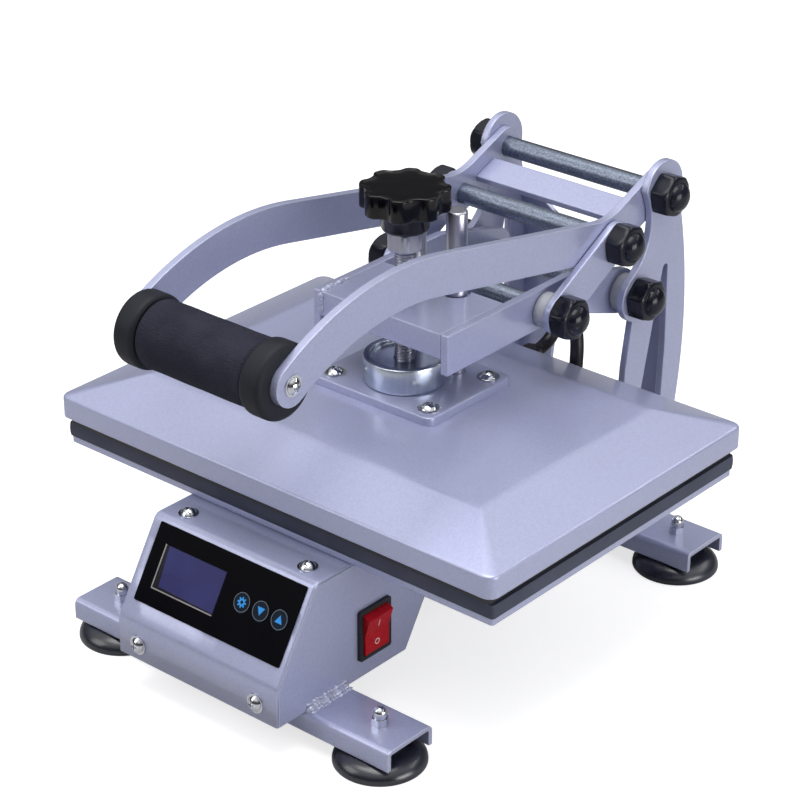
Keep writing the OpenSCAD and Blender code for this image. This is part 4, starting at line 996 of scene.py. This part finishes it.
# %% Puck and posts
low, high, middle = span("pressure_puck")
puck_r = (high - low)[0] / 2
bowl_r = puck_r - 4 * mm
recess, keeper_top = high[2] - 8 * mm, high[2] - 2.8 * mm
puck_profile = [
    (0.4 * mm, recess), (11.3 * mm, recess), (11.3 * mm, recess + 3.1 * mm), (6.3 * mm, recess + 3.1 * mm),
    (6.3 * mm, keeper_top), (bowl_r - 0.3 * mm, keeper_top), (bowl_r, keeper_top + 0.3 * mm),
    (bowl_r, high[2] - 0.5 * mm), (bowl_r + 0.5 * mm, high[2]), (puck_r - 0.9 * mm, high[2]),
    (puck_r - 0.25 * mm, high[2] - 0.3 * mm), (puck_r, high[2] - 0.9 * mm), (puck_r, low[2] + 1.4 * mm),
    (puck_r - 0.4 * mm, low[2] + 0.5 * mm), (puck_r - 1.3 * mm, low[2]), (0.4 * mm, low[2]),
]
puck = turned(puck_profile, (middle[0], middle[1], 0), (0, 0, 1), 128)
stands_for(skin("pressure_puck_turned", [puck], zinc_puck), "pressure_puck")

low, high, middle = span("guide_posts")
post_r = (high - low)[1] / 2
post_profile = [
    (post_r, low[2]), (post_r, high[2] - 1 * mm), (post_r - 0.15 * mm, high[2] - 0.7 * mm),
    (post_r - 0.85 * mm, high[2]), (0.4 * mm, high[2]),
]
posts = [
    turned(post_profile, (x, middle[1], 0), (0, 0, 1), 48) for x in (low[0] + post_r, high[0] - post_r)
]
stands_for(skin("guide_posts_chamfered", posts, post_steel, sharp=30), "guide_posts")

# %% [markdown]
# ## Grip
# The hand closes on a foam sleeve between two moulded collars. Foam gives a little everywhere, so its skin
# is slightly uneven, and it pulls in where it meets the collars, which leaves a dark crease there. The
# sleeve is a turned tube with low waves on it. A cloth simulation would lose the tube's even width.

# %% Foam sleeve
low, high, middle = span("foam_grip")
sleeve_half, sleeve_r, bore_r = (high - low)[0] / 2, (high - low)[1] / 2, 8.1 * mm
end_round, wave_height = 2.4 * mm, 0.12 * mm
straight = np.linspace(-sleeve_half + end_round, sleeve_half - end_round, 90)
bend = np.radians(np.linspace(0, 90, 8))
start_end = np.stack([
    sleeve_r - end_round + end_round * np.sin(bend), -sleeve_half + end_round - end_round * np.cos(bend),
], -1)
sleeve_profile = np.concatenate([
    [(bore_r, -sleeve_half)], start_end[:-1], np.stack([np.full_like(straight, sleeve_r), straight], -1),
    (start_end * [1, -1])[::-1][1:], [(bore_r, sleeve_half)],
])
around = 96
rings = turned(sleeve_profile, middle, (1, 0, 0), around)
x, angle = sleeve_profile[:, 1, None], circle(around)[None]
waves = np.sin(x / (7.3 * mm) + 2 * angle) * np.sin(3 * angle + x / (11.7 * mm)) - 1
fade = (sleeve_profile[:, 0] > sleeve_r - end_round)[:, None]
outward = rings - (middle + sleeve_profile[:, 1, None, None] * np.array([1.0, 0, 0]))
outward /= np.linalg.norm(outward, axis=-1, keepdims=True)
rings = rings + (wave_height * waves * fade)[..., None] * outward
sleeve = skin("foam_sleeve", [rings], grip_foam, sharp=60, loop=True)
stands_for(sleeve, "foam_grip")

# %% [markdown]
# The collars are the same turned ring twice, with rounded shoulders.

# %% Grip collars
low, high, middle = span("grip_collars")
collar_half, collar_r = 7 * mm, (high - low)[1] / 2
collar_profile = softened([
    (bore_r, -collar_half), (collar_r, -collar_half), (collar_r, collar_half), (bore_r, collar_half),
], 3.4 * mm)
collars = [
    turned(collar_profile, (x, middle[1], middle[2]), (1, 0, 0), 96)
    for x in (low[0] + collar_half, high[0] - collar_half)
]
collars = skin("grip_collars_moulded", collars, black["collar_foam"], sharp=50, loop=True)
stands_for(collars, "grip_collars")

# %% [markdown]
# ## Silicone pad
# A slab of silicone sponge lies on the lower plate, and the closed platen presses on it. Its sides bulge a
# little between a top and a bottom that are held flat: the inset follows a parabola over the height. Under
# the platen's weight the sponge spreads by 2 mm on each side.

# %% Silicone pad
low, high, middle = span("silicone_pad")
pad_bulge, pad_corner, pad_spread = 0.35 * mm, 1.8 * mm, 2 * mm
rise = np.linspace(0, 1, 13)
pull_in = pad_bulge * (2 * rise - 1) ** 2
pad_half = (high - low)[:2] / 2 + pad_spread
outline = round_rect(pad_half[0] - pull_in, pad_half[1] - pull_in, np.full_like(rise, pad_corner))
level = low[2] + rise * (high - low)[2]
pad = skin("silicone_pad_sponge", [levelled(outline, level, middle)], black["pad_silicone"], sharp=60)
stands_for(pad, "silicone_pad")

# %% [markdown]
# ## Suction feet
# Four rubber cups hold the press to the table: a low rim, a dome, a neck that goes up into the crossbar, and
# a hollow below. The dome is a quarter of an ellipse. The cup is one turned profile, set down under each
# end of the bars.

# %% Suction feet
low, high, _ = span("suction_feet")
foot_r, cup_r, rim_height, brow, neck_r = np.array([26, 25.2, 1.6, 9.7, 12]) * mm
cup_top, hollow_height, hollow_r = high[2], 5 * mm, 30 * mm
dome_width, dome_height = cup_r - neck_r - 0.6 * mm, brow - rim_height
bend = np.radians(np.linspace(0, 84, 16))
hollow = np.linspace(0.4, 16.5, 10) * mm
cup_profile = np.concatenate([
    np.stack([hollow, hollow_height - hollow_r + np.sqrt(hollow_r**2 - hollow**2)], -1),
    [(cup_r - 1.2 * mm, 0), (cup_r - 0.4 * mm, 0.2 * mm), (cup_r, 0.7 * mm)],
    np.stack([cup_r - dome_width + dome_width * np.cos(bend), rim_height + dome_height * np.sin(bend)], -1),
    [(neck_r + 0.3 * mm, brow + 0.6 * mm), (neck_r, brow + 1.6 * mm),
     (neck_r, cup_top - 0.5 * mm), (neck_r - 0.5 * mm, cup_top), (0.4 * mm, cup_top)],
])
cups = [
    turned(cup_profile, (x, y, 0), (0, 0, 1), 72)
    for x in (low[0] + foot_r, high[0] - foot_r) for y in (low[1] + foot_r, high[1] - foot_r)
]
stands_for(skin("suction_cups", cups, black["cup_rubber"], sharp=50), "suction_feet")

# %% [markdown]
# ## Display and icons
# The display's picture lies behind its glass. It stops short on the left and below, so that the dark glass
# shows there as a band of painted shade, the shade of the deep frame, and the metal frame shows as a thin
# line there. Each button has a printed ring and an icon: a gear to set, arrows down and up. Decals
# would need image textures, so each print is a thin plate on the panel's own frame.

# %% Prints on the panel
def plate_on_panel(outline, low, high):
    """Two rings: the outline, given as across and down the slope, at two heights out of the panel."""
    return np.stack([on_panel(outline[:, 0], outline[:, 1], np.full(len(outline), h)) for h in (low, high)])


def band_on_panel(outer, inner, low, high):
    """Four rings that close on themselves: a flat band between two outlines."""
    under, over = plate_on_panel(outer, low, high)
    inner_under, inner_over = plate_on_panel(inner, low, high)
    return np.stack([inner_under, under, over, inner_over])


def bar_outline(x0, fall0, x1, fall1):
    return np.array([(x0, fall0), (x1, fall0), (x1, fall1), (x0, fall1)])


glass_top = facia_top - 0.4 * mm
glass_half, film_half, line = np.array([22.35, 12.2]) * mm, 0.05 * mm, 0.3 * mm
x0, x1 = lcd_x - glass_half[0], lcd_x + glass_half[0]
y0, y1 = lcd_fall - glass_half[1], lcd_fall + glass_half[1]
# The picture is inset at the left and the bottom: the dark glass left there is painted shade.
picture = np.array([(x0 + 2.2 * mm, y0), (x1, y0), (x1, y1 - 0.9 * mm), (x0 + 4.2 * mm, y1 - 1.8 * mm)])
film = plate_on_panel(picture, glass_top - film_half, glass_top + film_half)
added(skin("display_picture", [film], colour["display_film"]), "base")

edges = [bar_outline(x0 - line, y0 - line, x0 + line, y1), bar_outline(x0 - line, y1 - line, x1, y1 + line)]
frame_lines = [plate_on_panel(edge, glass_top, facia_top + 0.06 * mm) for edge in edges]
added(skin("display_frame_line", frame_lines, colour["bezel_metal"]), "base")

# %% [markdown]
# The gear's rim is a wave clipped flat, eight teeth round, with a hole. The arrows are triangles. All
# ride on their own buttons, so that they go down with them.

# %% Icons
angle = circle(120)
round_unit = np.stack([np.cos(angle), np.sin(angle)], -1)
gear_r = (2.45 + 0.5 * np.clip(2.5 * np.cos(8 * angle), -1, 1))[:, None] * mm
arrow_up = np.array([(0, -2.5), (2.5, 1.9), (-2.5, 1.9)]) * mm
key_low, key_top = facia_top + 0.15 * mm, facia_top + 0.27 * mm
ring_r, ring_inner_r, gear_hole_r = np.array([5.3, 5.0, 0.95]) * mm


def on_button(name, icon, stack, material, loop=False):
    added(skin(name + icon, [stack], colour[material], loop=loop), carrier[name])


for name in ("button_set", "button_down", "button_up"):
    spot = np.array(panel_place(name)[:1] + (button_fall,))
    ring = band_on_panel(spot + ring_r * round_unit, spot + ring_inner_r * round_unit, key_low, key_top)
    on_button(name, "_ring", ring, "icon_ring", loop=True)
    if name == "button_set":
        gear = band_on_panel(spot + gear_r * round_unit, spot + gear_hole_r * round_unit, key_low, key_top)
        on_button(name, "_gear", gear, "icon_blue", loop=True)
    else:
        arrow = arrow_up if name == "button_up" else arrow_up * [1, -1]
        on_button(name, "_arrow", plate_on_panel(spot + arrow, key_low, key_top), "icon_blue")

# %% [markdown]
# ## Marks on the rocker
# The rocker's two faces meet in a kink. A printed ring on the pressed face stands for off, and a line on
# the raised face for on. They are thin plates that follow the faces: out of the box by the tilt above the
# kink, and straight up below it.

# %% Rocker marks
kink = np.array(joints["rocker_tilt"]["pos_m"])
face_out, rocker_tilt = 4 * mm, np.radians(16)
mark_heights = np.array([-0.02, 0.08]) * mm


def on_rocker(outline):
    """Two rings on the rocker's faces from (back, up) distances to the kink."""
    back, up = outline.T
    x = kink[0] + face_out + np.maximum(up, 0) * np.tan(rocker_tilt)
    return np.stack([np.stack([x + h, kink[1] + back, kink[2] + up], -1) for h in mark_heights])


off_at = np.array([0, -6.8]) * mm
ring_outer = on_rocker(off_at + 1.75 * mm * round_unit)
ring_inner = on_rocker(off_at + 1.3 * mm * round_unit)
off_ring = np.stack([ring_inner[0], *ring_outer, ring_inner[1]])
on_line = on_rocker(bar_outline(-0.25, 3.2, 0.25, 7.4) * mm)
added(skin("rocker_off_ring", [off_ring], colour["mark_white"], loop=True), "rocker")
added(skin("rocker_on_line", [on_line], colour["mark_white"]), "rocker")

# %% [markdown]
# ## Weld beads
# The box sits on the front bar in a coarse weld that the coat has only half filled, the uprights are welded
# to the rear bar, and the press arm's top to its left side. A bead is a tube along its seam whose radius
# ripples and whose line wanders a little, as drops of metal set one over the other. It tapers at both ends.

# %% Welds
def bead(start, end, size, rough):
    """A tube from start to end: radius = size times (1 + ripples along it and round it), times a taper of
    2 mm at the ends. The ripples' height is the share `rough`."""
    start, end = np.asarray(start), np.asarray(end)
    length = np.linalg.norm(end - start)
    s = np.linspace(0, length, int(length / (0.2 * mm)))
    wander = np.stack([np.sin(s / (1.7 * mm)), np.sin(s / (2.9 * mm)), np.cos(s / (1.3 * mm))], -1)
    path = start + (end - start) * (s / length)[:, None] + 0.25 * mm * wander
    taper = np.sqrt(np.clip(np.minimum(s, length - s) / (2 * mm), 0.04, 1))
    rings = tube(path, size * taper, 20)
    s, angle = s[:, None], circle(20)
    ripple = np.sin(s / (0.45 * mm)) + np.sin(s / (0.7 * mm) + 3 * angle)
    ripple = ripple + 0.8 * np.sin(s / (0.35 * mm) - 2 * angle) + 0.6 * np.sin(s / (0.23 * mm) + 5 * angle)
    return path[:, None] + (rings - path[:, None]) * (1 + rough * ripple)[..., None]


def weld(name, beads, body):
    added(skin(name, beads, weld_coat, sharp=180), body)


box_side = span("control_box_shell")[1][0]
bar_low, bar_high, _ = span("front_crossbar")
BOX_BEADS = {
    # out from the box's side, up from the bar, radius in millimetres, share of ripple
    "fillet": (0.3, 0.2, 2.9, 0.015),
    "on the box": (0.2, 3.6, 0.95, 0.10),
    "on the bar": (3.6, 0.1, 0.95, 0.10),
}
beads = []
for side in (1, -1):
    for out, up, size, rough in BOX_BEADS.values():
        x, z = side * (box_side + out * mm), bar_high[2] + up * mm
        beads.append(bead((x, bar_low[1] + 1 * mm, z), (x, bar_high[1] - 1 * mm, z), size * mm, rough))
weld("box_weld_beads", beads, "base")

upright_low, upright_high, _ = span("upright_right")
_, rear_high, rear_mid = span("rear_crossbar")
half_seam, seam_z = 14 * mm, rear_high[2] + 0.6 * mm
beads = []
for side in (1, -1):
    for x in (side * (upright_high[0] + 0.5 * mm), side * (upright_low[0] - 0.5 * mm)):
        ends = [(x, rear_mid[1] - half_seam, seam_z), (x, rear_mid[1] + half_seam, seam_z)]
        beads.append(bead(*ends, 1.5 * mm, 0.05))
weld("upright_weld_beads", beads, "base")

top_low, top_high, _ = span("press_arm_top")
stitch, stitch_size, seam_x = 24 * mm, 1.9 * mm, top_low[0] + 0.5 * mm
corner = (seam_x, top_low[1], top_high[2] - 0.3 * mm)
beads = [
    bead((seam_x, top_low[1], top_low[2] + 1 * mm), corner, stitch_size, 0.05),
    bead(corner, (seam_x, top_low[1] + stitch, corner[2]), stitch_size, 0.06),
]
weld("press_arm_weld_beads", beads, "press_arm")

# %% [markdown]
# ## Floor, sky and lamps
# A picture for a shop is lit by big soft boxes on a white sweep. The floor and the sky are white to the
# camera, and the lamps stay at a plain level, so colours render as they are written. The floor adds its
# white to a plain diffuse coat, so the shadow of the press still shows on it.

# %% Floor
floor_half, floor_glow = 3.0, 0.72
floor_mesh = bpy.data.meshes.new("floor")
floor_corners = [(x * floor_half, y * floor_half, 0) for x, y in ((-1, -1), (1, -1), (1, 1), (-1, 1))]
floor_mesh.from_pydata(floor_corners, [], [(0, 1, 2, 3)])
floor = placed("floor", floor_mesh)


def seen_rays(tree):
    """1 on rays from the camera, and on what shows through glass."""
    path = tree.nodes.new("ShaderNodeLightPath")
    return maths(tree, "MAXIMUM", path.outputs["Is Camera Ray"], path.outputs["Is Transmission Ray"])


floor_white = bpy.data.materials.new("floor_white")
floor_white.use_nodes = True
tree = floor_white.node_tree
coat = tree.nodes["Principled BSDF"].inputs
coat["Base Color"].default_value = (0.5, 0.5, 0.5, 1)
coat["Roughness"].default_value = 0.9
coat["Specular IOR Level"].default_value = 0.0
coat["Emission Color"].default_value = (1, 1, 1, 1)
tree.links.new(maths(tree, "MULTIPLY", seen_rays(tree), floor_glow), coat["Emission Strength"])
floor_mesh.materials.append(floor_white)
print("floor", floor.dimensions[:])

# %% [markdown]
# The main soft box hangs in front and above, and a weaker one stands on the right, so that the front of the
# skirt stays darker than the slopes. The sky fills in from overhead and is dark near the horizon, as the
# room round a soft box is, so that level tops and black plastic don't turn grey. A narrow strip behind puts
# a bright line on the bends.

# %% Sky and lamps
world = bpy.data.worlds.new("studio")
world.use_nodes = True
bpy.context.scene.world = world
sky = world.node_tree
background = sky.nodes["Background"]
background.inputs["Color"].default_value = (1, 1, 1, 1)
direction = sky.nodes.new("ShaderNodeTexCoord").outputs["Generated"]
steepness = node(sky, "ShaderNodeSeparateXYZ", None, i0=direction).outputs[2]
horizon_fill, zenith_fill = 0.08, 1.0
fill = spread(sky, steepness, horizon_fill, zenith_fill, start=0.38, end=0.8)
strength = node(sky, "ShaderNodeMix", None, i0=seen_rays(sky), i2=fill, i3=1.0).outputs[0]
sky.links.new(strength, background.inputs["Strength"])


press_middle = Vector((0, 0, 0.12))


def soft_box(name, place, width, height, watts):
    """An area lamp that looks at the middle of the press."""
    data = bpy.data.lights.new(name, "AREA")
    data.shape = "RECTANGLE"
    data.size = width
    data.size_y = height
    data.energy = watts
    lamp = placed(name, data)
    lamp.location = place
    lamp.rotation_euler = (press_middle - Vector(place)).to_track_quat("-Z", "Y").to_euler()


soft_box("top_box", (0.0, -0.2, 1.45), 1.2, 1.0, 15.2)
soft_box("front_box", (-0.7, -1.0, 0.8), 0.7, 0.7, 3.9)
soft_box("right_box", (1.4, 0.05, 0.3), 0.8, 0.5, 8.4)
soft_box("edge_strip", (0.65, 1.05, 1.0), 1.2, 0.06, 2.2)
bpy.context.scene.view_settings.view_transform = "Standard"
print("lamps", len(bpy.data.lights))
